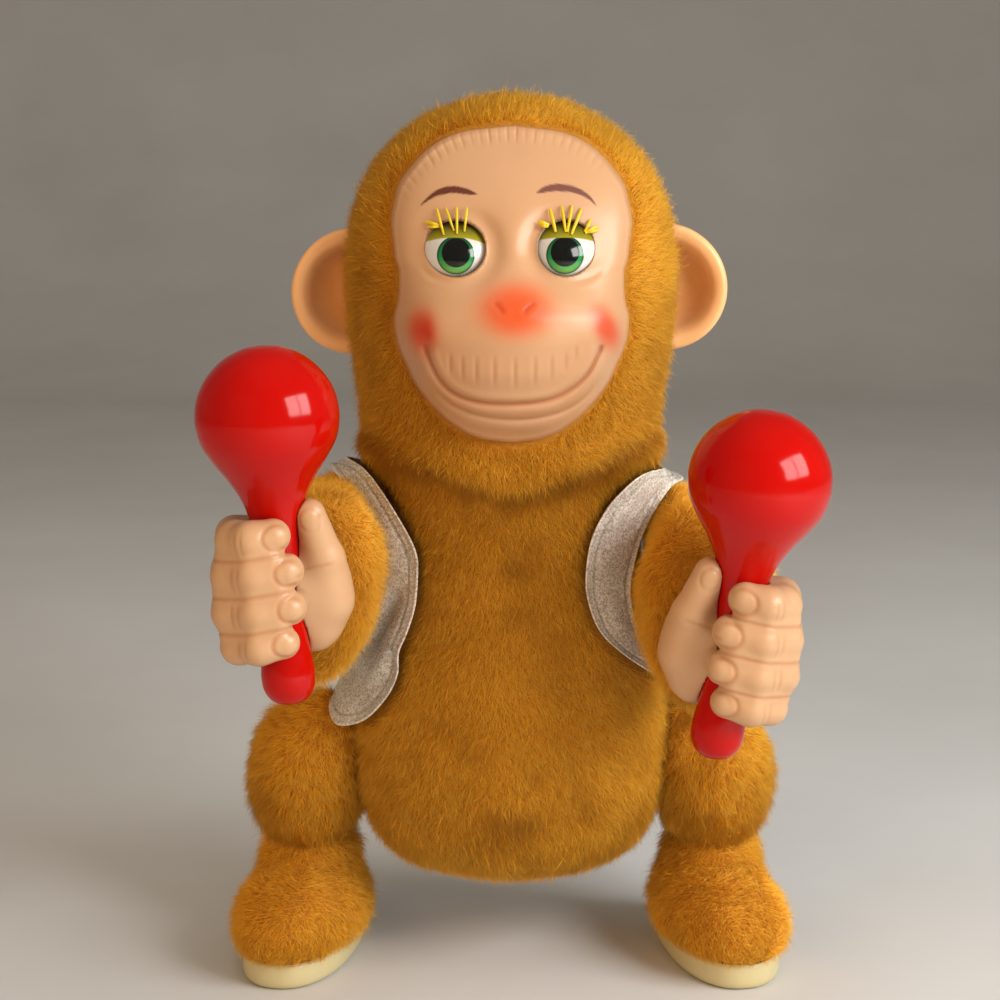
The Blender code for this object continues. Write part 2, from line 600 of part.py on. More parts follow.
for side, s in (("right", -1), ("left", 1)):
    pivot = empty(side + "_arm_pivot", (s * SHOULDER_X, 0.0, SHOULDER_Z), TOY,
                  (math.radians(s * ARM_REST_DEG), 0.0, 0.0))
    hand = Vector((s * HAND_REACH[side][0], HAND_REACH[side][1], HAND_REACH[side][2]))
    along = hand.normalized()
    turn = along.to_track_quat("Z", "Y").to_matrix().to_4x4()

    inner = -s * (SHOULDER_X - 16.0)
    wire_path = rounded_path([(inner, 0, 0), (0, 0, 0), tuple(along * 61.5)], 7.0)
    wire_bore = tube("wire_bore", [(inner, 0, 0)] + wire_path[1:-1] + [tuple(along * 64.0)], 2.15)
    show(tube("arm_wire", wire_path, 1.8), side + "_arm_wire", STEEL, pivot)

    sleeve = sleeve_shape(s, hand)
    sleeve = boolean(sleeve, wire_bore)
    show(sleeve, side + "_sleeve", PLUSH, pivot)

    lean = math.tan(math.radians(MARACA_LEAN[side]))
    up = Vector((s * lean, MARACA_TIP[side], 1.0)).normalized()
    tilt = up.to_track_quat("Z", "Y").to_matrix().to_4x4()
    bulb_at = hand + up * BULB_ABOVE_HAND
    seat = Matrix.Translation(mm(bulb_at)) @ tilt

    fist = box("fist", (-16.0, -13.5, -18.0), (16.0, 12.5, 18.0))
    b = fist.modifiers.new("round", "BEVEL")
    b.width = 8.0 * MM
    b.segments = 3
    fist = realise(fist)
    shift(fist, hand)
    grip = cylinder("grip", 7.4, 60.0, "Z", (0, 0, 0), 18)
    place(grip, Matrix.Translation(mm(hand)) @ tilt)
    fist = boolean(fist, grip)
    fist = boolean(fist, wire_bore)
    show(fist, side + "_hand", VINYL, pivot)

    cavity = [(3.0, -36.0), (3.0, -22.0), (8.6, -14.0), (14.0, -5.0), (15.0, 0.0), (10.4, 10.4), (0.0, 15.0)]
    bulb = turned("bulb", MARACA_BULB + cavity, 18)
    show(place(bulb, seat), side + "_maraca_bulb", RED, pivot)
    spigot = [(0.0, -23.0), (2.65, -23.0), (2.65, -36.3)]
    handle = turned("handle", spigot + MARACA_HANDLE, 16)
    show(place(handle, seat), side + "_maraca_handle", RED, pivot)

    # lever on the inner end of the arm wire, with a pin for the connecting rod
    lever_x = -s * (SHOULDER_X - LEVER_X)
    bar = []
    for i in range(9):
        t = math.pi / 2 - math.pi * i / 8
        bar.append((3.6 * math.cos(t), 3.6 * math.sin(t)))
    for i in range(9):
        t = -math.pi / 2 - math.pi * i / 8
        bar.append((-LEVER_LENGTH + 2.2 * math.cos(t), 2.2 * math.sin(t)))
    lever = flat("lever", [bar, circle(2.05, steps=14)], 1.4, YZ, (lever_x, 0, 0))
    pin_mid = -s * (SHOULDER_X - (LEVER_X + 1.5))
    pin = cylinder("lever_pin", 1.0, 3.2, "X", (pin_mid, -LEVER_LENGTH, 0.0), 12)
    lever = boolean(lever, pin, "UNION")
    show(lever, side + "_arm_lever", STEEL, pivot)

    # connecting rod: hangs upright from the lever's pin to the rocker's pin
    rest = math.radians(ARM_REST_DEG) * -s
    top_at = (s * ROD_X, -LEVER_LENGTH * math.cos(rest), SHOULDER_Z + LEVER_LENGTH * math.sin(rest))
    rod_pivot = empty(side + "_rod_pivot", top_at, TOY)
    strip = []
    for i in range(9):
        t = math.pi * i / 8
        strip.append((2.3 * math.cos(t), 2.3 * math.sin(t)))
    for i in range(9):
        t = math.pi + math.pi * i / 8
        strip.append((2.8 * math.cos(t), -ROD_LENGTH + 2.8 * math.sin(t)))
    rod = flat("rod", [strip, circle(1.25, steps=12), circle(1.75, (0.0, -ROD_LENGTH), 12)], 1.2, YZ)
    show(rod, side + "_connecting_rod", STEEL, rod_pivot)

    # bush in the tin wall at the shoulder
    show(pipe("bush", 4.0, 2.0, 3.4, "X", (s * 31.4, 0.0, SHOULDER_Z), 16), side + "_shoulder_bush", BRASS)

# ------------------------------------------------------------------- movement
FRONT_Y, BACK_Y = -8.0, 10.0


def plate(name, y, holes):
    outline = [(-22.0, 47.6), (22.0, 47.6), (22.0, 109.0), (19.0, 112.0), (-19.0, 112.0), (-22.0, 109.0)]
    loops = [outline] + [circle(r, at, 12) for at, r in holes]
    return flat(name, loops, 1.0, XZ, (0, y, 0))


front_holes = [(ARBOR, 2.3), (CRANK, 1.5), (GOVERNOR, 1.2), (VERGE, 1.1), ((0.0, ROCKER_Z), 1.3)]
back_holes = [(ARBOR, 2.3), (CRANK, 1.5), (GOVERNOR, 1.2), (VERGE, 1.1)]
show(plate("front_plate", FRONT_Y, front_holes), "front_plate", TIN)
show(plate("back_plate", BACK_Y, back_holes), "back_plate", TIN)
pillars = [(-19.0, 51.0), (19.0, 51.0), (-19.0, 107.0), (19.0, 107.0)]
inside = (FRONT_Y + 0.5 + GAP, BACK_Y - 0.5 - GAP)
for i, (x, z) in enumerate(pillars):
    show(cylinder("pillar", 1.7, inside[1] - inside[0], "Y", (x, sum(inside) / 2, z), 12),
         f"plate_pillar_{i + 1}", STEEL)
show(box("strap", (-34.5, -8.6, 46.2), (34.5, 10.6, 47.2)), "movement_strap", TIN)


def gear_outline(teeth, module, phase, play=0.22):
    """Straight-sided teeth through an involute's root and tip points, one tooth centred on phase."""
    pitch = teeth * module / 2
    base = pitch * math.cos(math.radians(20))
    root, tip = pitch - 1.2 * module, pitch + 0.85 * module

    def spread(a):
        return math.tan(a) - a

    half = math.pi / (2 * teeth) - play / (2 * pitch)

    def half_angle(r):
        a = math.acos(base / r) if r > base else 0.0
        return half + spread(math.radians(20)) - spread(a)

    out = []
    for k in range(teeth):
        mid = phase + 2 * math.pi * k / teeth
        low = min(half_angle(root), math.pi / teeth * 0.86)
        rows = [(root, low), (tip, max(half_angle(tip), 0.02))]
        for r, a in rows:
            out.append((r * math.cos(mid - a), r * math.sin(mid - a)))
        for r, a in reversed(rows):
            out.append((r * math.cos(mid + a), r * math.sin(mid + a)))
    return out


def moved(loop, at):
    return [(x + at[0], y + at[1]) for x, y in loop]


def on_axis(at):
    return (at[0], 0.0, at[1])


# winding arbor with the key outside the back, and the great wheel loose on it
great_pivot = empty("great_wheel_axis", on_axis(ARBOR), TOY)
great = flat("great", [gear_outline(GREAT_TEETH, MODULE_A, math.radians(90)), circle(2.3, steps=14)], 1.5,
             XZ, (0, -3.75, 0))
show(great, "great_wheel", BRASS, great_pivot)

arbor_pivot = empty("arbor_axis", on_axis(ARBOR), TOY)
show(cylinder("arbor", 2.0, 57.0, "Y", (0, 19.0, 0), 16), "winding_arbor", STEEL, arbor_pivot)
ratchet = []
for k in range(12):
    a = 2 * math.pi * k / 12
    ratchet.append((6.0 * math.cos(a), 6.0 * math.sin(a)))
    ratchet.append((4.5 * math.cos(a + 0.06), 4.5 * math.sin(a + 0.06)))
show(flat("ratchet", [ratchet, circle(2.25, steps=14)], 1.3, XZ, (0, -5.85, 0)), "ratchet_wheel", STEEL,
     arbor_pivot)

click_pivot = empty("click_axis", (ARBOR[0] - 10.5, 0.0, ARBOR[1] + 3.0), TOY)
nose = [(-1.8, -0.8), (-0.8, -1.8), (0.8, -1.6), (5.9, 1.4), (5.3, 2.6), (1.2, 1.9), (-0.6, 1.9), (-1.7, 1.0)]
click = flat("click", [nose], 1.3, XZ, (0, -5.85, 0))
click = boolean(click, cylinder("rivet", 0.9, 1.5, "Y", (0, -5.55, 0), 10), "UNION")
show(click, "click", STEEL, click_pivot)

collar = cylinder("collar", 3.6, 13.0, "Y", (0, 45.0, 0), 16)
bow = []
for i in range(11):
    t = math.radians(-135 + 27 * i)
    bow.append((8.5 + 7.0 * math.cos(t), 7.0 * math.sin(t)))
for i in range(11):
    t = math.radians(45 + 27 * i)
    bow.append((-8.5 + 7.0 * math.cos(t), 7.0 * math.sin(t)))
wings = flat("bow", [bow], 1.6, XY, (0, 55.0, 0))
collar = boolean(collar, wings, "UNION")
collar = boolean(collar, cylinder("key_bore", 2.3, 14.0, "Y", (0, 41.0, 0), 16))
show(collar, "winding_key", TIN, arbor_pivot)

# mainspring: a flat strip wound round the arbor, its outer end running to a pillar
turns, inner_r, outer_r, strip_t = 5.25, 3.0, 14.4, 0.45
centre = []
count = 60
for i in range(count + 1):
    t = i / count
    a = math.radians(180) + (t - 1.0) * turns * 2 * math.pi
    r = inner_r + (outer_r - inner_r) * t
    centre.append(Vector((r * math.cos(a), r * math.sin(a))))
tail_end = Vector((pillars[0][0] - ARBOR[0] + 2.3, pillars[0][1] - ARBOR[1] + 0.6))
centre.append((centre[-1] * 0.55 + tail_end * 0.45) + Vector((-0.6, 0.0)))
centre.append(tail_end)
one, two = [], []
for i, p in enumerate(centre):
    a, b = centre[max(i - 1, 0)], centre[min(i + 1, len(centre) - 1)]
    t = (b - a).normalized()
    n = Vector((-t.y, t.x)) * strip_t / 2
    one.append(tuple(p + n))
    two.append(tuple(p - n))
loop = one + list(reversed(two))
show(flat("spring", [moved(loop, ARBOR)], 7.0, XZ, (0, 1.7, 0)), "mainspring", SPRING)

# crank shaft: leaf pinion cut on the shaft, wheel behind, crank disc in front
crank_pivot = empty("crank_axis", on_axis(CRANK), TOY)
leaves = flat("leaves", [gear_outline(CRANK_PINION_TEETH, MODULE_A, math.radians(288))], 2.6, XZ, (0, -3.75, 0))
leaves = boolean(leaves, cylinder("crank_rod", 1.25, 22.0, "Y", (0, -0.2, 0), 12), "UNION")
show(leaves, "crank_pinion_shaft", STEEL, crank_pivot)
wheel = flat("wheel", [gear_outline(CRANK_TEETH, MODULE_B, math.radians(30)), circle(1.5, steps=12)], 1.3,
             XZ, (0, 7.4, 0))
show(wheel, "crank_gear", BRASS, crank_pivot)
disc = flat("disc", [circle(6.0, steps=22), circle(1.5, steps=12)], 1.8, XZ, (0, -10.3, 0))
disc = boolean(disc, cylinder("crank_pin", 0.9, 3.0, "Y", (0, -11.7, -CRANK_THROW), 10), "UNION")
show(disc, "crank_disc", STEEL, crank_pivot)

# governor: pinion, escape wheel and the rocking verge
governor_pivot = empty("governor_axis", on_axis(GOVERNOR), TOY)
leaf = flat("leaf", [gear_outline(GOVERNOR_PINION_TEETH, MODULE_B, math.radians(232.5))], 2.2, XZ, (0, 7.4, 0))
leaf = boolean(leaf, cylinder("governor_rod", 0.95, 20.0, "Y", (0, 1.0, 0), 10), "UNION")
show(leaf, "governor_pinion_shaft", STEEL, governor_pivot)
star = []
for k in range(12):
    a = 2 * math.pi * k / 12
    star.append((7.0 * math.cos(a), 7.0 * math.sin(a)))
    star.append((5.2 * math.cos(a + 0.10), 5.2 * math.sin(a + 0.10)))
    star.append((5.2 * math.cos(a + 0.36), 5.2 * math.sin(a + 0.36)))
show(flat("star", [star, circle(1.2, steps=12)], 1.2, XZ, (0, -5.0, 0)), "escape_wheel", BRASS, governor_pivot)

verge_pivot = empty("verge_axis", on_axis(VERGE), TOY)
to_wheel = Vector((GOVERNOR[0] - VERGE[0], GOVERNOR[1] - VERGE[1]))
u = to_wheel.normalized()
w = Vector((-u.y, u.x))
anchor = [u * -2.6, u * -1.2 + w * 2.4, u * 7.0 + w * 8.2, u * 8.2 + w * 7.2, u * 2.2 + w * 1.6,
          u * 2.2 - w * 1.6, u * 8.2 - w * 7.2, u * 7.0 - w * 8.2, u * -1.2 - w * 2.4]
verge = flat("verge", [[tuple(p) for p in anchor]], 1.2, XZ, (0, -5.0, 0))
verge = boolean(verge, cylinder("verge_rod", 0.85, 19.4, "Y", (0, 1.0, 0), 10), "UNION")
show(verge, "verge", STEEL, verge_pivot)

# rocker: a see-saw beam in front of the plates that lifts the arms in turn
tip_drop = LEVER_LENGTH * math.sin(math.radians(ARM_REST_DEG))
ROCKER_REST = math.asin(tip_drop / ROD_X)
rocker_pivot = empty("rocker_axis", (0.0, -14.12, ROCKER_Z), TOY, (0.0, ROCKER_REST, 0.0))
beam = [(-18.4, -1.8), (-5.0, -3.4), (-2.4, -5.0), (-1.9, -17.6), (1.9, -17.6), (2.4, -5.0), (5.0, -3.4),
        (18.4, -1.8), (18.4, 1.8), (4.0, 3.6), (-4.0, 3.6), (-18.4, 1.8)]
slot = [(-1.0, -16.4), (1.0, -16.4), (1.0, -12.6), (-1.0, -12.6)]
rocker = flat("beam", [beam, circle(1.75, steps=12), slot], 1.4, XZ)
for s in (-1, 1):
    rocker = boolean(rocker, cylinder("tip_pin", 1.0, 5.6, "X", (s * 18.4, 0.0, 0.0), 12), "UNION")
show(rocker, "rocker_beam", STEEL, rocker_pivot)
show(cylinder("stud", 1.5, 7.6, "Y", (0, -12.6, ROCKER_Z), 12), "rocker_stud", STEEL)
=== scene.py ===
"""Looks of the wind-up plush monkey: pile, vinyl, cloth, painted colours with painted shade and highlights among them,
light and camera.

Drawing numbers are in millimetres in the toy's drawing frame, whose Y is
SHIFT_Y behind the model's; at() turns them into metres in the model's frame.
Right and left are the toy's own: its right side is at -X.
"""

import json
import math

import bmesh
import bpy
import numpy as np
from mathutils import Matrix, Vector


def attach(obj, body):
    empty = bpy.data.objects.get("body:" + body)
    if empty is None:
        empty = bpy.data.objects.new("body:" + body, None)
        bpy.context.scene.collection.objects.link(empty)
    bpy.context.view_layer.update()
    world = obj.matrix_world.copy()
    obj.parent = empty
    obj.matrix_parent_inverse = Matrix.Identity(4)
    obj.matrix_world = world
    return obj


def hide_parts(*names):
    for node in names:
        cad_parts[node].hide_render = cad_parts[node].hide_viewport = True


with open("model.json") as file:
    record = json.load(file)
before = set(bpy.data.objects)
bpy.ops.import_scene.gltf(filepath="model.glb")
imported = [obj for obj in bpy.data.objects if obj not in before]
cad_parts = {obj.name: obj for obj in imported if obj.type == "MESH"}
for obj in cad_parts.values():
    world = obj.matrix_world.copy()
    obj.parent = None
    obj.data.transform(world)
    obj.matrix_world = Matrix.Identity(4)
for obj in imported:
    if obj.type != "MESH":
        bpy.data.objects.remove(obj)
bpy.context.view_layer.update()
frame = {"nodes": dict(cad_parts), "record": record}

SCENE = bpy.context.scene
SHIFT_Y = 13.0
RNG = np.random.default_rng(20)
SIDES = (("right", -1.0), ("left", 1.0))


def at(points):
    p = np.array(points, float)
    p[..., 1] += SHIFT_Y
    return p * 0.001


# ------------------------------------------------------------ camera and stage
lens = bpy.data.cameras.new("camera")
lens.lens = 75.0
lens.sensor_width = 36.0
lens.clip_start = 0.01
camera = bpy.data.objects.new("camera", lens)
SCENE.collection.objects.link(camera)
camera.location = (-0.0029, -0.542, 0.2235)
camera.rotation_euler = (math.radians(80.0), 0.0, 0.0)
SCENE.camera = camera
SCENE.view_settings.view_transform = "Standard"
SCENE.view_settings.look = "None"


# ------------------------------------------------------------------- materials
def material(name):
    m = bpy.data.materials.new(name)
    m.use_nodes = True
    return m, m.node_tree, m.node_tree.nodes["Principled BSDF"]


def add(tree, kind, inputs=None, **props):
    n = tree.nodes.new(kind)
    for k, v in props.items():
        setattr(n, k, v)
    for k, v in (inputs or {}).items():
        if isinstance(v, bpy.types.NodeSocket):
            tree.links.new(v, n.inputs[k])
        else:
            n.inputs[k].default_value = v
    return n


def ramp(tree, value, stops, interpolation="LINEAR"):
    n = tree.nodes.new("ShaderNodeValToRGB")
    n.color_ramp.interpolation = interpolation
    e = n.color_ramp.elements
    while len(e) < len(stops):
        e.new(0.5)
    for el, (pos, col) in zip(e, stops):
        el.position = pos
        el.color = (*col, 1.0) if len(col) == 3 else col
    tree.links.new(value, n.inputs["Fac"])
    return n.outputs["Color"]


def grey(v):
    return (v, v, v)


def coords(tree):
    return add(tree, "ShaderNodeTexCoord").outputs["Object"]


def noise_tex(tree, scale, detail=3.0, rough=0.55, vector=None):
    n = add(tree, "ShaderNodeTexNoise", {"Scale": scale, "Detail": detail, "Roughness": rough})
    tree.links.new(vector if vector is not None else coords(tree), n.inputs["Vector"])
    return n.outputs["Fac"]


def multiply(tree, a, b, factor=1.0):
    n = add(tree, "ShaderNodeMix", data_type="RGBA", blend_type="MULTIPLY")
    n.inputs[0].default_value = factor
    tree.links.new(a, n.inputs[6])
    tree.links.new(b, n.inputs[7])
    return n.outputs[2]


def bump(tree, bsdf, height, strength, distance):
    n = add(tree, "ShaderNodeBump", {"Strength": strength, "Distance": distance})
    tree.links.new(height, n.inputs["Height"])
    tree.links.new(n.outputs["Normal"], bsdf.inputs["Normal"])
    return n


def mottled(name, base, spread, scale, rough, rough_spread=0.06, metallic=0.0, bump_scale=None, bump_mm=0.05,
            coat=0.0, specular=0.5, paint_and_shade=None):
    """A finish whose colour and gloss drift a little over the surface, with a fine grain in its relief."""
    m, t, b = material(name)
    drift = noise_tex(t, scale, 4.0)
    low = tuple(max(c * (1 - spread), 0.0) for c in base)
    high = tuple(min(c * (1 + spread), 1.0) for c in base)
    colour = ramp(t, drift, [(0.25, low), (0.75, high)])
    if paint_and_shade:
        a = add(t, "ShaderNodeAttribute", attribute_name=paint_and_shade)
        tint = ramp(t, drift, [(0.25, grey(1 - spread)), (0.75, grey(1.0))])
        colour = multiply(t, a.outputs["Color"], tint)
    t.links.new(colour, b.inputs["Base Color"])
    gloss = ramp(t, noise_tex(t, scale * 2.3, 4.0), [(0.3, grey(rough - rough_spread)), (0.7, grey(rough + rough_spread))])
    t.links.new(gloss, b.inputs["Roughness"])
    b.inputs["Metallic"].default_value = metallic
    b.inputs["Specular IOR Level"].default_value = specular
    if coat:
        b.inputs["Coat Weight"].default_value = coat
        b.inputs["Coat Roughness"].default_value = 0.06
    if bump_scale:
        bump(t, b, noise_tex(t, bump_scale, 3.0), 0.6, bump_mm * 0.001)
    return m


def plush_cloth():
    m, t, b = material("plush_cloth")
    fine = noise_tex(t, 900.0, 3.0)
    wide = noise_tex(t, 90.0, 3.0)
    c = multiply(t, ramp(t, fine, [(0.3, (0.36, 0.145, 0.014)), (0.7, (0.50, 0.215, 0.026))]),
                 ramp(t, wide, [(0.3, grey(0.82)), (0.7, grey(1.0))]))
    t.links.new(c, b.inputs["Base Color"])
    b.inputs["Roughness"].default_value = 0.95
    b.inputs["Specular IOR Level"].default_value = 0.1
    bump(t, b, fine, 0.8, 0.0004)
    return m


def plush_pile():
    """Pile: V on its map runs from root to tip, U is the strand's own tone, which differs at random and is lowered on
    the torso as painted shade under the hood.
    """
    m, t, b = material("plush_pile")
    uv = add(t, "ShaderNodeUVMap", uv_map="OFBake")
    split = add(t, "ShaderNodeSeparateXYZ", {"Vector": uv.outputs["UV"]})
    along = ramp(t, split.outputs["Y"], [(0.0, (0.58, 0.205, 0.004)), (0.45, (0.86, 0.405, 0.016)),
                                         (0.85, (0.86, 0.480, 0.060)), (1.0, (0.86, 0.530, 0.120))])
    shade = ramp(t, split.outputs["X"], [(0.0, (0.50, 0.40, 0.27)), (0.25, (0.76, 0.68, 0.54)), (0.5, (0.94, 0.91, 0.86)), (1.0, (1.0, 1.0, 1.0))])
    t.links.new(multiply(t, along, shade), b.inputs["Base Color"])
    b.inputs["Roughness"].default_value = 0.55
    b.inputs["Specular IOR Level"].default_value = 0.24
    return m


CLOTH = plush_cloth()
PILE = plush_pile()
VINYL = mottled("vinyl_face", (0.52, 0.30, 0.16), 0.05, 60.0, 0.35, 0.04, specular=0.42, bump_scale=1400.0, bump_mm=0.03, paint_and_shade="paint_and_shade")
TIN = mottled("bare_tinplate", (0.62, 0.62, 0.60), 0.10, 120.0, 0.34, 0.08, metallic=1.0, bump_scale=900.0, bump_mm=0.02)
STEEL = mottled("drawn_steel", (0.52, 0.52, 0.54), 0.12, 160.0, 0.30, 0.08, metallic=1.0, bump_scale=1200.0, bump_mm=0.02)
BRASS = mottled("stamped_brass", (0.70, 0.50, 0.20), 0.10, 160.0, 0.30, 0.08, metallic=1.0, bump_scale=1200.0, bump_mm=0.02)
SPRING = mottled("blued_spring", (0.24, 0.28, 0.40), 0.20, 200.0, 0.32, 0.08, metallic=1.0, bump_scale=1200.0, bump_mm=0.02)
CORE = mottled("moulded_core", (0.52, 0.46, 0.36), 0.08, 80.0, 0.6, 0.06, bump_scale=700.0, bump_mm=0.05)
RED = mottled("red_gloss", (0.43, 0.0026, 0.0010), 0.05, 70.0, 0.12, 0.02, bump_scale=90.0, bump_mm=0.02, coat=0.06, specular=0.22)
CREAM = mottled("cream_enamel", (0.54, 0.47, 0.255), 0.06, 90.0, 0.42, 0.06, bump_scale=600.0, bump_mm=0.03)
YELLOW = mottled("lash_yellow", (0.66, 0.48, 0.010), 0.08, 400.0, 0.45, 0.06, bump_scale=2000.0, bump_mm=0.01)


# ----------------------------------------------------------------- mesh helpers
def mesh_object(name, points, faces, mat, smooth=True):
    """A mesh object from points in drawing millimetres and a list or array of faces."""
    mesh = bpy.data.meshes.new(name)
    mesh.from_pydata([tuple(p) for p in at(points)], [], [tuple(int(i) for i in f) for f in faces])
    mesh.update()
    obj = bpy.data.objects.new(name, mesh)
    SCENE.collection.objects.link(obj)
    if smooth:
        mesh.shade_smooth()
    mesh.materials.append(mat)
    return obj


def outward(obj):
    bm = bmesh.new()
    bm.from_mesh(obj.data)
    bmesh.ops.recalc_face_normals(bm, faces=bm.faces)
    bm.to_mesh(obj.data)
    bm.free()
    return obj


def piece(obj, body, slot, *nodes):
    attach(obj, body)
    if nodes:
        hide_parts(*nodes)
    return obj


def unit(v):
    return v / np.maximum(np.linalg.norm(v, axis=-1, keepdims=True), 1e-9)


def steps(x, low, high):
    t = np.clip((x - low) / (high - low), 0.0, 1.0)
    return t * t * (3 - 2 * t)


def curve_through(table):
    """A smooth reading of (place, value) pairs that never overshoots them."""
    x, y = (np.array(c, float) for c in zip(*table))
    h = np.diff(x)
    d = np.diff(y) / h
    m = np.zeros(len(x))
    for i in range(1, len(x) - 1):
        if d[i - 1] * d[i] > 0:
            w1, w2 = 2 * h[i] + h[i - 1], h[i] + 2 * h[i - 1]
            m[i] = (w1 + w2) / (w1 / d[i - 1] + w2 / d[i])
    m[0], m[-1] = d[0], d[-1]

    def read(q):
        q = np.clip(np.asarray(q, float), x[0], x[-1])
        i = np.clip(np.searchsorted(x, q) - 1, 0, len(h) - 1)
        t = (q - x[i]) / h[i]
        return ((1 + 2 * t) * (1 - t) ** 2 * y[i] + t * (1 - t) ** 2 * h[i] * m[i]
                + t * t * (3 - 2 * t) * y[i + 1] + t * t * (t - 1) * h[i] * m[i + 1])
    return read


def spline(points, count, closed=False):
    """Points along a smooth line through a list of points."""
    p = np.array(points, float)
    n = len(p)
    spans = n if closed else n - 1
    t = np.linspace(0, spans, count, endpoint=not closed)
    i = np.minimum(t.astype(int), spans - 1)
    f = (t - i)[:, None]

    def get(k):
        return p[k % n] if closed else p[np.clip(k, 0, n - 1)]
    a, b, c, d = get(i - 1), get(i), get(i + 1), get(i + 2)
    return 0.5 * (2 * b + (c - a) * f + (2 * a - 5 * b + 4 * c - d) * f * f + (3 * b - a - 3 * c + d) * f ** 3)


def lattice(c, seed):
    """A repeatable number from 0 to 1 for each whole-number cell."""
    h = (c[..., 0].astype(np.int64) * 73856093) ^ (c[..., 1].astype(np.int64) * 19349663) \
        ^ (c[..., 2].astype(np.int64) * 83492791) ^ (seed * 2654435)
    h = (h ^ (h >> 13)) * 1274126177 & 0x7FFFFFFF
    h = (h ^ (h >> 15)) * 374761393 & 0x7FFFFFFF
    return ((h ^ (h >> 11)) & 0xFFFFFF) / float(0xFFFFFF)


def drift(p, size, seed=0):
    """Smooth noise from -1 to 1 with features of that size."""
    q = np.asarray(p, float) / size
    c = np.floor(q).astype(np.int64)
    f = q - c
    f = f * f * (3 - 2 * f)
    total = 0.0
    for dx in (0, 1):
        for dy in (0, 1):
            for dz in (0, 1):
                w = (f[..., 0] if dx else 1 - f[..., 0]) * (f[..., 1] if dy else 1 - f[..., 1]) \
                    * (f[..., 2] if dz else 1 - f[..., 2])
                total = total + w * lattice(c + np.array([dx, dy, dz]), seed)
    return 2 * total - 1


def swirl(p, size, seed=0):
    return np.stack([drift(p, size, seed), drift(p, size, seed + 1), drift(p, size, seed + 2)], axis=-1)


def surface_net(field, origin, step):
    """Points and quads of the surface where a sampled field is zero (inside is below zero)."""
    nx, ny, nz = field.shape
    inside = field < 0
    corners = [(i, j, k) for i in (0, 1) for j in (0, 1) for k in (0, 1)]

    def view(a, o):
        return a[o[0]:nx - 1 + o[0], o[1]:ny - 1 + o[1], o[2]:nz - 1 + o[2]]
    count = sum(view(inside, o).astype(np.int8) for o in corners)
    active = (count > 0) & (count < 8)
    idx = np.full(active.shape, -1, np.int64)
    cells = np.argwhere(active)
    idx[active] = np.arange(len(cells))
    total = np.zeros((len(cells), 3))
    hits = np.zeros(len(cells))
    at_corner = {o: view(field, o)[active] for o in corners}
    for a in corners:
        for axis in range(3):
            if a[axis] == 0:
                b = tuple(1 if i == axis else a[i] for i in range(3))
                fa, fb = at_corner[a], at_corner[b]
                cross = (fa < 0) != (fb < 0)
                t = np.where(cross, fa / np.where(cross, fa - fb, 1.0), 0.0)
                p = np.array(a, float)[None, :].repeat(len(cells), 0)
                p[:, axis] += t
                total += np.where(cross[:, None], p, 0.0)
                hits += cross
    points = origin + (cells + total / hits[:, None]) * step
    quads = []
    for axis in range(3):
        u, v = (axis + 1) % 3, (axis + 2) % 3
        lo = [slice(1, -1)] * 3
        lo[axis] = slice(0, -1)
        hi = [slice(1, -1)] * 3
        hi[axis] = slice(1, None)
        a, b = inside[tuple(lo)], inside[tuple(hi)]
        where = np.argwhere(a != b)
        flip = a[tuple(where.T)]
        base = where.copy()
        base[:, u] += 1
        base[:, v] += 1
        ring = []
        for du, dv in ((0, 0), (-1, 0), (-1, -1), (0, -1)):
            c = base.copy()
            c[:, u] += du
            c[:, v] += dv
            ring.append(idx[c[:, 0], c[:, 1], c[:, 2]])
        q = np.stack(ring, 1)
        q[~flip] = q[~flip][:, ::-1]
        quads.append(q)
    return points, np.concatenate(quads)


def grid_of(low, high, step):
    axes = [np.arange(a, b + step, step) for a, b in zip(low, high)]
    return np.stack(np.meshgrid(*axes, indexing="ij"), axis=-1), np.array(low, float)


def smooth_min(a, b, k):
    h = np.clip(0.5 + 0.5 * (b - a) / k, 0.0, 1.0)
    return b + (a - b) * h - k * h * (1 - h)


def ball(p, centre, semi):
    """Near-distance to an ellipsoid."""
    q = (p - np.array(centre)) / np.array(semi)
    k0 = np.linalg.norm(q, axis=-1)
    k1 = np.linalg.norm(q / np.array(semi), axis=-1)
    return k0 * (k0 - 1.0) / np.maximum(k1, 1e-6)


def limb(p, a, b, ra, rb):
    """Distance to a round-ended rod between two points, thicker at one end."""
    a, b = np.array(a, float), np.array(b, float)
    d = b - a
    t = np.clip(((p - a) @ d) / (d @ d), 0.0, 1.0)
    return np.linalg.norm(p - a - t[..., None] * d, axis=-1) - (ra + (rb - ra) * t)


def quads_of(rows, cols, wrap=True):
    """Faces of a grid of points laid out row by row."""
    r = np.arange(rows - 1)[:, None]
    c = np.arange(cols if wrap else cols - 1)[None, :]
    n = (c + 1) % cols
    return np.stack([r * cols + c, r * cols + n, (r + 1) * cols + n, (r + 1) * cols + c], axis=-1).reshape(-1, 4)


def normals_of(points, quads):
    a, b, c, d = (points[quads[:, i]] for i in range(4))
    f = np.cross(c - a, d - b)
    n = np.zeros_like(points)
    for i in range(4):
        np.add.at(n, quads[:, i], f)
    return unit(n)


def facing(points, quads, centre):
    """The same faces, turned to look away from a middle point."""
    a, b, c, d = (points[quads[:, i]] for i in range(4))
    out = np.cross(c - a, d - b) * (points[quads].mean(1) - np.array(centre))
    return quads if out.sum() > 0 else quads[:, ::-1]


def turned_points(profile, segments):
    """Points of a profile of (radius, height) turned about Z."""
    t = np.arange(segments) * 2 * math.pi / segments
    pr = np.array(profile, float)
    return np.stack([pr[:, :1] * np.cos(t), pr[:, :1] * np.sin(t), np.repeat(pr[:, 1:], segments, 1)], -1).reshape(-1, 3)


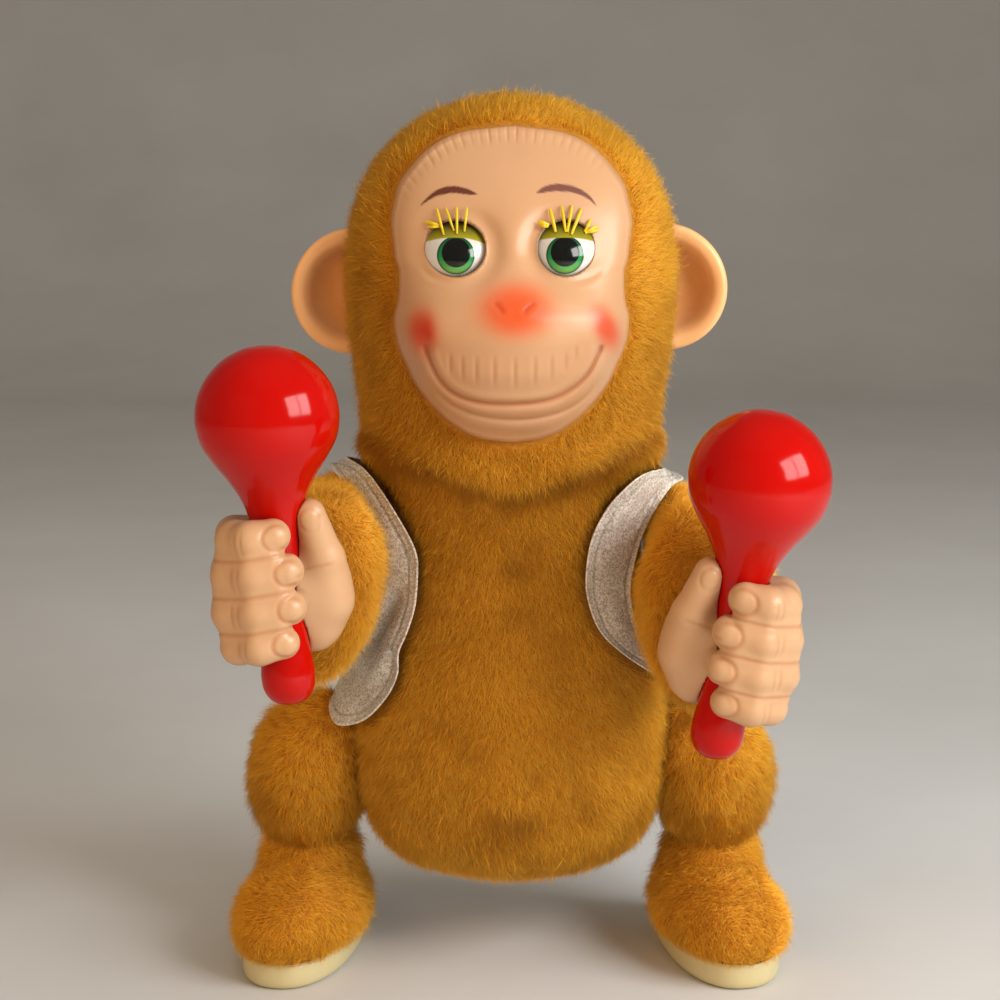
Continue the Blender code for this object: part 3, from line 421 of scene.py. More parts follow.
def smooth_profile(points, count):
    """A profile line drawn smooth, evenly stepped along its length."""
    p = np.array(points, float)
    s = np.concatenate([[0], np.cumsum(np.linalg.norm(np.diff(p, axis=0), axis=1))])
    rx, rz = curve_through(list(zip(s, p[:, 0]))), curve_through(list(zip(s, p[:, 1])))
    q = np.linspace(0, s[-1], count)
    return np.stack([rx(q), rz(q)], 1)


def paint_on(obj, colours, name="paint_and_shade"):
    a = obj.data.attributes.new(name, "FLOAT_COLOR", "POINT")
    c = np.ones((len(obj.data.vertices), 4), np.float32)
    c[:, :3] = colours
    a.data.foreach_set("color", c.ravel())


# ------------------------------------------------------------------------- pile
def sample(points, quads, per_mm2, rng):
    """Random places on a surface of quads, with their normals."""
    n = normals_of(points, quads)
    tris = np.concatenate([quads[:, [0, 1, 2]], quads[:, [0, 2, 3]]])
    a, b, c = (points[tris[:, i]] for i in range(3))
    area = 0.5 * np.linalg.norm(np.cross(b - a, c - a), axis=1)
    count = int(area.sum() * per_mm2)
    pick = np.searchsorted(np.cumsum(area), rng.random(count) * area.sum())
    pick = np.minimum(pick, len(tris) - 1)
    u, v = rng.random(count), rng.random(count)
    over = u + v > 1
    u[over], v[over] = 1 - u[over], 1 - v[over]
    w = np.stack([1 - u - v, u, v], 1)
    p = (points[tris[pick]] * w[..., None]).sum(1)
    return p, unit((n[tris[pick]] * w[..., None]).sum(1))


def clump_of(p, cell, seed):
    """The nearest of a scatter of clump centres, one to a cell."""
    base = np.floor(p / cell).astype(np.int64)
    best, least = None, None
    for dx in (-1, 0, 1):
        for dy in (-1, 0, 1):
            for dz in (-1, 0, 1):
                c = base + np.array([dx, dy, dz])
                q = (c + np.stack([lattice(c, seed + k) for k in range(3)], -1)) * cell
                d = ((q - p) ** 2).sum(1)
                if best is None:
                    best, least = q, d
                else:
                    near = d < least
                    best = np.where(near[:, None], q, best)
                    least = np.where(near, d, least)
    return best


def pile(name, roots, normals, comb, rng, length=5.0, lean=58.0, width=0.145, clump=3.0, pull=0.36, ruffle=27.0,
         swirl_mm=9.0, swirl_by=0.35, bend=0.0, floor=None, shade=None, seed=1):
    """Strands of pile as slim tapering spikes, bent once if bend is set. comb is the lie of the pile at each root."""
    n = len(roots)
    comb = comb - normals * (comb * normals).sum(1, keepdims=True)
    comb = unit(comb) + swirl_by * swirl(roots, swirl_mm, seed)
    comb = unit(comb - normals * (comb * normals).sum(1, keepdims=True))
    side = np.cross(normals, comb)
    turn = np.radians(rng.normal(0, ruffle, n))[:, None]
    comb = comb * np.cos(turn) + side * np.sin(turn)
    long = length * (1 + 0.16 * drift(roots, 7.0, seed + 9)) * rng.uniform(0.72, 1.22, n)
    tilt = np.radians(np.clip(lean + rng.normal(0, 9, n) + 7 * drift(roots, 11.0, seed + 5), 8, 84))
    centre = clump_of(roots, clump, seed + 20) - roots
    centre -= normals * (centre * normals).sum(1, keepdims=True)
    start = roots - normals * 0.5
    tip = start + long[:, None] * (normals * np.cos(tilt)[:, None] + comb * np.sin(tilt)[:, None]) + pull * centre
    if floor is not None:
        tip[:, 2] = np.maximum(tip[:, 2], floor)
    axis = unit(tip - start)
    a = unit(np.cross(axis, normals + 0.3 * rng.normal(size=(n, 3))))
    b = np.cross(axis, a)
    wide = (width * rng.uniform(0.75, 1.25, n))[:, None]
    spin = rng.uniform(0, 2 * math.pi, n)[:, None]
    ring = [a * np.cos(spin + 2 * math.pi * k / 3) + b * np.sin(spin + 2 * math.pi * k / 3) for k in range(3)]
    rows = [start + r * wide * 0.5 for r in ring]
    if bend:
        mid = start + 0.55 * (tip - start) + normals * (0.10 * long[:, None]) \
            + a * (rng.normal(0, bend, n) * long)[:, None]
        rows += [mid + r * wide * 0.42 for r in ring]
        faces = np.array([[0, 3, 4], [0, 4, 1], [1, 4, 5], [1, 5, 2], [2, 5, 3], [2, 3, 0], [3, 6, 4], [4, 6, 5], [5, 6, 3]])
        v_at = np.array([0.0, 0.0, 0.0, 0.55, 0.55, 0.55, 1.0])
        u_at = np.array([0.0, 0.006, 0.012, 0.0, 0.006, 0.012, 0.006])
    else:
        faces = np.array([[0, 3, 1], [1, 3, 2], [2, 3, 0]])
        v_at = np.array([0.0, 0.0, 0.0, 1.0])
        u_at = np.array([0.0, 0.006, 0.012, 0.006])
    rows.append(tip)
    k = len(rows)
    points = np.stack(rows, 1).reshape(-1, 3)
    tris = (faces[None] + (np.arange(n) * k)[:, None, None]).reshape(-1)
    # tone differs at random; shade, where given, lowers it as painted shade
    tone = np.clip(0.56 + 0.34 * drift(roots, 6.0, seed + 40) + 0.24 * drift(roots, 17.0, seed + 41) - (0.0 if shade is None else shade(roots))
                   + rng.normal(0, 0.06, n), 0.0, 1.0) * 0.96 + 0.01
    u = (tone[:, None] + u_at[None]).reshape(-1)
    v = np.tile(v_at, n) * 0.98 + 0.01
    return {"points": points, "tris": tris, "u": u, "v": v}


def pile_object(name, parts):
    """One mesh object from several sets of strands."""
    base, points, tris, u, v = 0, [], [], [], []
    for s in parts:
        points.append(s["points"])
        tris.append(s["tris"] + base)
        u.append(s["u"])
        v.append(s["v"])
        base += len(s["points"])
    points, tris, u, v = (np.concatenate(x) for x in (points, tris, u, v))
    mesh = bpy.data.meshes.new(name)
    mesh.vertices.add(len(points))
    mesh.vertices.foreach_set("co", at(points).astype(np.float32).ravel())
    mesh.loops.add(len(tris))
    mesh.loops.foreach_set("vertex_index", tris.astype(np.int32))
    count = len(tris) // 3
    mesh.polygons.add(count)
    mesh.polygons.foreach_set("loop_start", np.arange(count, dtype=np.int32) * 3)
    mesh.update(calc_edges=True)
    mesh.shade_smooth()
    layer = mesh.uv_layers.new(name="OFBake")
    layer.uv.foreach_set("vector", np.stack([u[tris], v[tris]], 1).astype(np.float32).ravel())
    mesh.materials.append(PILE)
    obj = bpy.data.objects.new(name, mesh)
    SCENE.collection.objects.link(obj)
    return obj


DENSITY = 7.0
WISPS = 0.24


def furred(name, points, quads, comb_of, body, keep=None, density=1.0, length=5.0, lean=58.0, split=None, seed=1,
           wisp_length=5.6, **more):
    """Dense short pile over a surface, with longer stray hairs, cut into pieces by split where it is large."""
    rng = np.random.default_rng(100 + seed)
    made = []
    sets = []
    for per, opts in ((DENSITY * density, {}),
                      (WISPS * density, {"length": wisp_length, "lean": lean - 4, "width": 0.11, "ruffle": 34.0, "bend": 0.12,
                                         "pull": 0.2})):
        p, n = sample(points, quads, per, rng)
        if keep is not None:
            ok = keep(p, n)
            p, n = p[ok], n[ok]
        args = dict(length=length, lean=lean, seed=seed)
        args.update(more)
        args.update(opts)
        sets.append((p, n, args))
    groups = split or [("", lambda p: np.ones(len(p), bool))]
    for label, test in groups:
        parts = []
        for p, n, args in sets:
            ok = test(p)
            if ok.any():
                parts.append(pile(name, p[ok], n[ok], comb_of(p[ok], n[ok]), rng, **args))
        obj = pile_object(name + label, parts)
        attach(obj, body)
        made.append(obj)
    return made


# ------------------------------------------------------------------ torso plush
TORSO = [(40.6, 147.0), (41.0, 143.0), (40.2, 139.0), (38.3, 135.3), (36.3, 131.0), (35.5, 126.0), (35.2, 120.0),
         (35.1, 113.0), (36.3, 103.0), (38.0, 93.0), (40.1, 83.0), (41.9, 73.0), (42.7, 64.0), (42.6, 54.0),
         (41.2, 44.0), (37.6, 35.0), (31.0, 29.0), (19.0, 25.2), (0.0, 24.0)]
TORSO_DEPTH = 0.86
COLLAR_Z, COLLAR_RISE = 134.0, 0.36
torso_at = curve_through([(z, r) for r, z in reversed(TORSO)])


def collar(x):
    return COLLAR_Z + COLLAR_RISE * np.abs(x)


def torso_skin(inset, columns=120, rows=96):
    line = smooth_profile(TORSO, 600)
    tangent = np.gradient(line, axis=0)
    normal = unit(np.stack([-tangent[:, 1], tangent[:, 0]], 1))
    line = line - normal * inset
    line[:, 0] = np.maximum(line[:, 0], 0.0)
    phi = np.arange(columns) * 2 * math.pi / columns
    top = np.minimum(146.5, collar(40.0 * np.sin(phi)) + 1.6)
    first = np.array([np.argmax(line[:, 1] <= z) for z in top])
    out = np.zeros((rows, columns, 3))
    for c in range(columns):
        s = np.linspace(first[c], len(line) - 1.0, rows)
        r = np.interp(s, np.arange(len(line)), line[:, 0])
        z = np.interp(s, np.arange(len(line)), line[:, 1])
        r = r - 2.6 * steps(z, top[c] - 6.5, top[c]) * max(math.cos(phi[c]), 0.25)
        out[:, c] = np.stack([r * math.sin(phi[c]), -TORSO_DEPTH * r * math.cos(phi[c]), z], 1)
    points = out.reshape(-1, 3)
    return points, facing(points, quads_of(rows, columns), (0, 0, 85.0))


# ------------------------------------------------------------------ silver vest
def crease(p, a, b, width):
    """Soft mask along a straight line between two points, fading at its ends."""
    a, b = np.array(a, float), np.array(b, float)
    t = np.clip((p - a) @ (b - a) / ((b - a) @ (b - a)), 0, 1)
    gap = np.linalg.norm(p - a - t[:, None] * (b - a), axis=1)
    return np.exp(-(gap / width) ** 2) * np.sin(math.pi * (0.12 + 0.76 * t))


def vest_half(s, b, a, folds, name):
    """One half of the vest: a ring of cloth from its outer edge b to the armhole a, lying on the torso."""
    n_t, n_r = 520, 44
    outer, inner = spline(b, n_t, True), spline(a, n_t, True)
    f = np.linspace(0, 1, n_r)
    f = (f - 0.10 * np.sin(2 * math.pi * f))[:, None, None]
    p = outer[None] * (1 - f) + inner[None] * f
    half = torso_at(p[..., 2]) + 2.5
    q = np.sqrt((p[..., 0] / half) ** 2 + (p[..., 1] / (TORSO_DEPTH * half)) ** 2)
    grow = np.where(q < 1, 1 / np.maximum(q, 0.2), 1.0)
    p[..., 0] *= grow
    p[..., 1] *= grow
    flat_p = p.reshape(-1, 3)
    quads = quads_of(n_r, n_t)
    n = normals_of(flat_p, quads)
    if (n * (flat_p - np.array([0, 0, 100.0])))[:, :2].sum() < 0:
        quads = quads[:, ::-1]
        n = -n
    edge = np.linalg.norm(p - p[:1], axis=-1).reshape(-1)
    hole = np.linalg.norm(p - p[-1:], axis=-1).reshape(-1)
    rim = np.minimum(edge, hole)
    wave = 0.35 * drift(flat_p * np.array([1, 1, 0.55]), 9.0, 60) + 0.18 * drift(flat_p, 4.0, 61)
    wave = wave * (0.5 + 0.9 * steps(95.0 - flat_p[:, 2], 0, 18))
    for start, end, width, depth in folds:
        wave += depth * crease(flat_p, np.array(start) * np.array([s, 1, 1]), np.array(end) * np.array([s, 1, 1]), width)
    seam = 0.34 * np.exp(-((edge - 3.3) / 0.42) ** 2) + 0.26 * np.exp(-((hole - 1.9) / 0.36) ** 2)
    pipe = np.exp(-((rim - 0.45) / 0.45) ** 2)
    flat_p = flat_p + n * (wave * steps(rim, -0.6, 4.0) - seam + 0.28 * pipe)[:, None]
    obj = mesh_object(name, flat_p, quads, SILVER)
    # painted light and shade: a lighter line along both edges is a painted highlight, and the seams and the hollows of
    # the folds are darkened as painted shade
    dip = np.clip(-wave, 0, 2.0)
    shade = np.clip(1.0 + 0.30 * np.exp(-((rim - 0.3) / 0.4) ** 2) - 0.9 * seam - 0.16 * dip, 0.45, 1.12)
    paint_on(obj, np.repeat(shade[:, None], 3, 1) / 1.12)
    thick = obj.modifiers.new("cloth", "SOLIDIFY")
    thick.thickness = 0.0005
    thick.offset = -1.0
    a, b2, c, d = (flat_p[quads[:, i]] for i in range(4))
    return obj, float(0.5 * np.linalg.norm(np.cross(c - a, d - b2), axis=1).sum() * 1e-6), outer, inner


def silver_cloth():
    m, t, b = material("silver_lame")
    where = coords(t)
    cells = add(t, "ShaderNodeTexVoronoi", {"Scale": 2600.0, "Vector": where}, feature="F1")
    flake = add(t, "ShaderNodeSeparateColor", {"Color": cells.outputs["Color"]})
    # flake colours differ at random from cell to cell; the brightest cells are painted glints
    glint = ramp(t, flake.outputs["Red"], [(0.0, (0.44, 0.400, 0.330)), (0.55, (0.82, 0.765, 0.670)), (0.86, (0.94, 0.905, 0.840)),
                                           (1.0, (1.0, 0.97, 0.92))])
    wide = ramp(t, noise_tex(t, 130.0, 3.0), [(0.3, grey(0.84)), (0.7, grey(1.0))])
    # painted highlight along the edges and painted shade in the seams and folds, read from the cloth's attribute
    painted_light_and_shade = add(t, "ShaderNodeAttribute", attribute_name="paint_and_shade")
    t.links.new(multiply(t, multiply(t, glint, wide), painted_light_and_shade.outputs["Color"]), b.inputs["Base Color"])
    t.links.new(ramp(t, flake.outputs["Green"], [(0.0, grey(0.30)), (1.0, grey(0.62))]), b.inputs["Roughness"])
    b.inputs["Metallic"].default_value = 0.12
    bump(t, b, flake.outputs["Blue"], 0.7, 0.0002)
    return m


SILVER = silver_cloth()
VEST_BACK = [(20.0, 35.0, 73.0), (8.0, 37.6, 76.0), (0.0, 38.2, 78.0), (0.0, 36.5, 90.0), (0.0, 33.0, 110.0), (0.0, 33.5, 127.5),
             (18.0, 31.0, 131.5), (31.0, 20.5, 133.4), (38.2, 9.5, 134.8)]
HOLE_BACK = [(39.0, 11.0, 96.2), (38.0, 14.5, 98.5), (37.0, 17.0, 103.0), (36.8, 18.3, 112.0), (38.0, 17.6, 121.0),
             (39.2, 16.4, 125.5), (41.6, 13.0, 129.6), (44.6, 7.5, 131.8)]
EDGE = {
    "right": [(43.9, 0, 137.4), (38.8, -13.5, 136.6), (34.4, -17.0, 132.0), (30.3, -20.4, 126.3), (26.6, -23.4, 120.5),
              (24.4, -24.9, 115.3), (24.2, -25.4, 109.5), (25.0, -26.1, 101.7), (27.2, -25.9, 94.7), (29.4, -25.6, 89.5),
              (29.7, -26.4, 83.8), (32.8, -26.0, 77.4), (39.2, -22.4, 70.2), (46.8, -14.6, 67.0), (49.6, -3.0, 69.6), (46.8, 11.0, 69.6),
              (38.0, 24.0, 68.6)],
    "left": [(40.8, 0, 134.6), (39.2, -9.5, 135.6), (34.2, -20.4, 136.0), (29.5, -23.6, 132.9), (24.7, -25.6, 127.9),
             (20.8, -27.3, 120.5), (19.3, -28.1, 112.2), (19.6, -28.8, 105.0), (22.8, -28.5, 96.3), (29.3, -25.6, 89.2),
             (37.6, -18.4, 82.1), (43.0, -8.0, 77.8), (44.8, 0, 76.2), (43.6, 11.0, 74.5), (38.0, 24.0, 72.5)]}
HOLE = {
    "right": [(48.8, 0, 135.4), (45.4, -9.2, 132.6), (41.7, -12.4, 125.4), (38.6, -14.6, 117.0), (36.8, -16.4, 109.5),
              (36.4, -17.0, 102.5), (37.4, -15.5, 97.2), (38.8, -11, 95.6), (40.0, -7, 95), (40.6, 0, 94.8), (40.0, 7, 95.2)],
    "left": [(46.6, 0, 131.4), (42.8, -6.0, 130.2), (38.2, -10.6, 124.6), (34.5, -15.0, 118.0), (32.3, -18.0, 110.5),
             (31.5, -20.0, 104.4), (32.8, -20.3, 97.0), (35.8, -18.2, 90.4), (39.6, -12.0, 86.6), (42.2, -5.0, 86.0),
             (42.6, 2.0, 88.0), (41.0, 7.5, 92.5)]}
FOLDS = {
    "right": [((29.5, -23.0, 105.5), (38.5, -15.0, 88.0), 2.7, -2.3), ((33.0, -19.5, 124.0), (31.0, -22.0, 109.0), 4.2, 1.1),
              ((33.0, -23.5, 91.0), (38.5, -18.5, 76.0), 3.4, 1.5), ((28.6, -26.0, 95.0), (31.5, -24.5, 84.0), 1.6, -0.8),
              ((34.5, -22.0, 82.0), (41.0, -15.0, 70.0), 1.5, -0.7)],
    "left": [((41.0, -7.0, 133.0), (31.5, -20.5, 119.5), 1.5, -0.95), ((34.5, -19.5, 133.0), (25.0, -25.0, 120.0), 2.6, 0.8),
             ((25.0, -25.5, 104.0), (31.0, -22.5, 92.0), 2.4, 0.5)]}
vest_areas, vest_loops, vest_parts = [], [], []
for side, s in SIDES:
    flip = np.array([s, 1.0, 1.0])
    obj, area, outer, inner = vest_half(s, np.array(EDGE[side] + VEST_BACK) * flip, np.array(HOLE[side] + HOLE_BACK) * flip,
                                        FOLDS[side], "vest_" + side)
    vest_areas.append(area)
    vest_loops.append((outer, inner))
    vest_parts.append(obj)


def inside_loop(u, v, loop_u, loop_v):
    """Which points of a flat map lie inside a closed loop."""
    hit = np.zeros(len(u), bool)
    j = len(loop_u) - 1
    for i in range(len(loop_u)):
        cross = (loop_v[i] > v) != (loop_v[j] > v)
        at_u = (loop_u[j] - loop_u[i]) * (v - loop_v[i]) / (loop_v[j] - loop_v[i] + 1e-12) + loop_u[i]
        hit ^= cross & (u < at_u)
        j = i
    return hit


def under_vest(p):
    """Places on the torso that the vest covers, read on a map of angle round the body and height."""
    phi = np.degrees(np.arctan2(p[:, 0], -p[:, 1] / TORSO_DEPTH))
    covered = np.zeros(len(p), bool)
    for (outer, inner), (side, s) in zip(vest_loops, SIDES):
        maps = []
        for loop in (outer[::4], inner[::4]):
            a = np.degrees(np.arctan2(loop[:, 0], -loop[:, 1] / TORSO_DEPTH))
            a = np.where(a * s < -90, a + s * 360, a)
            maps.append((a, loop[:, 2]))
        q = np.where(phi * s < -90, phi + s * 360, phi)
        covered |= inside_loop(q, p[:, 2], *maps[0]) & ~inside_loop(q, p[:, 2], *maps[1])
    return covered


# torso cloth and pile
points, quads = torso_skin(1.0)
torso_cloth = outward(mesh_object("torso_cloth", points, quads, CLOTH))
piece(torso_cloth, "toy_body", "golden_plush", "torso_plush")


def torso_comb(p, n):
    d = np.tile(np.array([0.0, 0.0, -1.0]), (len(p), 1))
    d[:, 0] += 0.25 * np.sign(p[:, 0]) * steps(np.abs(p[:, 0]), 3, 25)
    low = steps(50 - p[:, 2], 0, 22)
    d[:, 1] += 0.6 * low * np.sign(p[:, 1])
    return d


def torso_keep(p, n):
    arm = (np.hypot(p[:, 1], p[:, 2] - 118.0) < 6.0) & (np.abs(p[:, 0]) > 25)
    key = (np.hypot(p[:, 0], p[:, 2] - 70.0) < 4.6) & (p[:, 1] > 0)
    return ~arm & ~key & ~under_vest(p)


# painted shade: the torso pile darkened just under the hood's edge, where the hood shades it
def painted_shade_under_hood(p):
    return 0.62 * steps(p[:, 2] - collar(p[:, 0]), -8.0, -2.5) * steps(-p[:, 1], -6.0, 6.0)


furred("torso_pile", *torso_skin(1.0), torso_comb, "toy_body", torso_keep, seed=1, length=4.6, lean=60.0, shade=painted_shade_under_hood,
       split=[("_front_right", lambda p: (p[:, 1] < 0) & (p[:, 0] < 0)), ("_front_left", lambda p: (p[:, 1] < 0) & (p[:, 0] >= 0)),
              ("_back_right", lambda p: (p[:, 1] >= 0) & (p[:, 0] < 0)), ("_back_left", lambda p: (p[:, 1] >= 0) & (p[:, 0] >= 0))])
for obj in vest_parts:
    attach(obj, "toy_body")
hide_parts("vest")

# ------------------------------------------------------------------------- hood
HOOD = [(0.0, 233.0), (9.5, 232.2), (18.0, 229.6), (26.0, 225.2), (33.0, 219.0), (38.4, 211.0), (42.0, 201.5),
        (43.5, 190.0), (43.2, 177.0), (41.8, 164.0), (39.9, 151.0), (38.4, 141.0), (35.8, 132.2)]
HOOD_DEPTH, HOOD_Y = 0.90, 2.0
FACE_WIDTH = [(146.0, 0.0), (147.0, 7.5), (150.8, 15.2), (156.8, 21.6), (162.5, 25.5), (164.8, 26.4), (168.3, 28.1),
              (173.3, 29.6), (177.5, 29.9), (181.5, 28.9), (185.7, 28.5), (190.0, 28.6), (192.0, 29.4), (196.2, 29.9),
              (201.5, 30.5), (207.2, 29.5), (209.9, 28.9), (214.9, 25.6), (220.4, 20.1), (224.0, 12.2), (225.5, 0.0)]
FACE_DEPTH = [(146.0, -34.0), (147.5, -39.0), (151.0, -45.0), (156.0, -48.0), (160.0, -49.5), (166.0, -51.0), (172.0, -51.0),
              (178.0, -49.8), (182.0, -47.8), (186.0, -45.2), (190.0, -42.5), (194.0, -40.4), (198.0, -39.2), (204.0, -38.0),
              (210.0, -36.0), (216.0, -32.6), (222.0, -27.0), (225.5, -21.0)]
FACE_MID_Z = 186.0
hood_at = curve_through([(z, r) for r, z in reversed(HOOD)])
width_at = curve_through(FACE_WIDTH)
depth_at = curve_through(FACE_DEPTH)


def face_reach(angle):
    """Distance from the middle of the face to its outline in each direction."""
    low, high = np.zeros_like(angle), np.full_like(angle, 60.0)
    for _ in range(36):
        r = (low + high) / 2
        z = FACE_MID_Z + r * np.sin(angle)
        inside = (z > 146.0) & (z < 225.5) & (np.abs(r * np.cos(angle)) < width_at(z))
        low, high = np.where(inside, r, low), np.where(inside, high, r)
    return low


ANGLES = np.linspace(-math.pi, math.pi, 721)
REACH = face_reach(ANGLES)
REACH = np.convolve(np.concatenate([REACH[-5:-1], REACH, REACH[1:5]]), np.ones(9) / 9, "valid")


def outline(angle):
    return np.interp(angle, ANGLES, REACH)


def face_ratio(p):
    """How far a place is from the middle of the face, as a share of the way to its outline."""
    dx, dz = p[:, 0], p[:, 2] - FACE_MID_Z
    return np.hypot(dx, dz) / outline(np.arctan2(dz, dx))


def hood_skin(inset, columns=128, rows=100):
    line = smooth_profile(HOOD, 500)
    tangent = np.gradient(line, axis=0)
    normal = unit(np.stack([-tangent[:, 1], tangent[:, 0]], 1))
    line = line - normal * inset
    line[:, 0] = np.maximum(line[:, 0], 0.0)
    phi = np.arange(columns) * 2 * math.pi / columns
    low = np.maximum(collar(37.5 * np.sin(phi)) - 0.9, 132.3)
    last = np.array([len(line) - 1 - np.argmax(line[::-1, 1] >= z) for z in low])
    out = np.zeros((rows, columns, 3))
    for c in range(columns):
        s = np.linspace(0, last[c], rows)
        r = np.interp(s, np.arange(len(line)), line[:, 0])
        z = np.interp(s, np.arange(len(line)), line[:, 1])
        r = r + 2.6 * steps(low[c] + 9.0 - z, 0.0, 9.0) * max(math.cos(phi[c]), 0.0)
        out[:, c] = np.stack([r * math.sin(phi[c]), HOOD_Y - HOOD_DEPTH * r * math.cos(phi[c]), z], 1)
    points = out.reshape(-1, 3)
    quads = quads_of(rows, columns)
    mid = points[quads].mean(1)
    gone = (mid[:, 1] < 0) & (face_ratio(mid) < 0.93)
    return points, facing(points, quads[~gone], (0, HOOD_Y, 182.0))


points, quads = hood_skin(1.0)
hood_cloth = mesh_object("hood_cloth", points, quads, CLOTH)
outward(hood_cloth)
piece(hood_cloth, "toy_body", "golden_plush", "hood_plush")


def hood_comb(p, n):
    d = np.stack([p[:, 0], 0.9 * np.maximum(p[:, 1] + 45, 0) * 0.5, p[:, 2] - FACE_MID_Z], 1)
    d = unit(d)
    back = steps(p[:, 1], -8, 22)[:, None]
    side = steps(FACE_MID_Z + 12 - p[:, 2], 0, 45)[:, None]
    down = np.array([0.0, 0.1, -1.0])
    return d * (1 - np.maximum(back, 0.55 * side)) + down * np.maximum(back, 0.55 * side)


def hood_keep(p, n):
    front = (p[:, 1] < 0) & (face_ratio(p) < 1.012)
    return ~front


furred("hood_pile", points, quads, hood_comb, "toy_body", hood_keep, seed=2, length=4.3, lean=55.0,
       split=[("_front_right", lambda p: (p[:, 1] < 4.0) & (p[:, 0] < 0)), ("_front_left", lambda p: (p[:, 1] < 4.0) & (p[:, 0] >= 0)),
              ("_back_right", lambda p: (p[:, 1] >= 4.0) & (p[:, 0] < 0)), ("_back_left", lambda p: (p[:, 1] >= 4.0) & (p[:, 0] >= 0))])


def fringe_keep(p, n):
    return hood_keep(p, n) & (p[:, 2] < collar(p[:, 0]) + 4.5)


furred("hood_fringe", points, quads, hood_comb, "toy_body", fringe_keep, seed=3, length=4.8, lean=60.0, density=0.35, wisp_length=5.8)

# ------------------------------------------------------------------------- face
EYES = {-1.0: (-13.9, 195.3, 7.45, 6.70), 1.0: (13.4, 195.4, 7.05, 6.65)}  # middle x and z, half width and height
SMILE = [(-21.3, 172.4), (-20.8, 169.7), (-17.9, 163.4), (-13.6, 159.6), (-7.2, 157.8), (0.8, 157.5), (8.9, 158.3), (14.2, 160.6),
         (18.5, 164.4), (21.4, 169.7), (22.1, 172.2)]
LOWER_LIP = [(-19.9, 162.4), (-18.0, 159.4), (-14.2, 156.5), (-8.3, 154.2), (0.9, 153.1), (9.5, 154.1), (15.5, 156.4), (19.8, 160.1),
             (22.4, 164.6)]
NOSTRILS = [[(-3.8, 182.4), (-3.1, 181.7), (-2.4, 180.9)], [(5.0, 182.3), (4.0, 181.7), (3.2, 180.8)]]
LIP_LINES = [(-15.2, 167.9, 2.2), (-12.2, 166.7, 2.8), (-8.8, 166.2, 3.2), (-4.4, 166.0, 3.5), (0.6, 165.6, 3.6), (5.5, 166.1, 3.4),
             (9.7, 166.8, 3.0), (13.2, 168.3, 2.2), (15.7, 170.4, 1.8)]
# the left brow (second) is coloured lighter than the right: painted light and sheen, as the lamps fall on that side
BROWS = [([(-22.6, 205.8), (-20.1, 207.8), (-18.0, 208.9), (-14.8, 209.6), (-11.6, 209.2), (-8.8, 208.5)],
          [(0.0, 0.10), (0.3, 0.62), (0.58, 0.86), (0.8, 0.74), (1.0, 0.16)], (0.095, 0.018, 0.010)),
         ([(20.9, 205.8), (19.0, 207.8), (15.7, 209.5), (11.6, 210.1), (8.5, 209.7), (6.3, 208.8)],
          [(0.0, 0.10), (0.3, 0.62), (0.58, 0.90), (0.8, 0.74), (1.0, 0.16)], (0.150, 0.052, 0.044))]


def face_base(x, z, rho, angle):
    reach = outline(angle)
    ex, ez = reach * np.cos(angle), FACE_MID_Z + reach * np.sin(angle)
    a = hood_at(ez)
    edge = HOOD_Y - HOOD_DEPTH * np.sqrt(np.maximum(a * a - ex * ex, 0.0)) - 0.6
    mid = np.minimum(depth_at(z), edge)
    return edge + (mid - edge) * np.sqrt(np.maximum(1 - rho ** 2.2, 0.0)), edge


def gauss(d, w):
    return np.exp(-(d / w) ** 2)


def line_gap(x, z, points, count=70):
    """Distance from a smooth line, + below one that runs to +X, and the share of the way along it."""
    line = spline(points, count)
    best, where, sign = np.full(x.shape, 1e9), np.zeros(x.shape), np.ones(x.shape)
    for i in range(count - 1):
        (ax, az), (bx, bz) = line[i], line[i + 1]
        dx, dz = bx - ax, bz - az
        t = np.clip(((x - ax) * dx + (z - az) * dz) / (dx * dx + dz * dz), 0, 1)
        gx, gz = x - ax - t * dx, z - az - t * dz
        d = np.hypot(gx, gz)
        near = d < best
        best = np.where(near, d, best)
        where = np.where(near, (i + t) / (count - 1), where)
        sign = np.where(near, np.where(gx * dz - gz * dx >= 0, 1.0, -1.0), sign)
    return best * sign, where


def oval(s, x, z):
    ex, ez, w, h = EYES[s]
    return np.hypot((x - ex) / w, (z - ez) / h)


def ends(share, fade):
    return steps(share, 0, fade) * steps(1 - share, 0, fade)


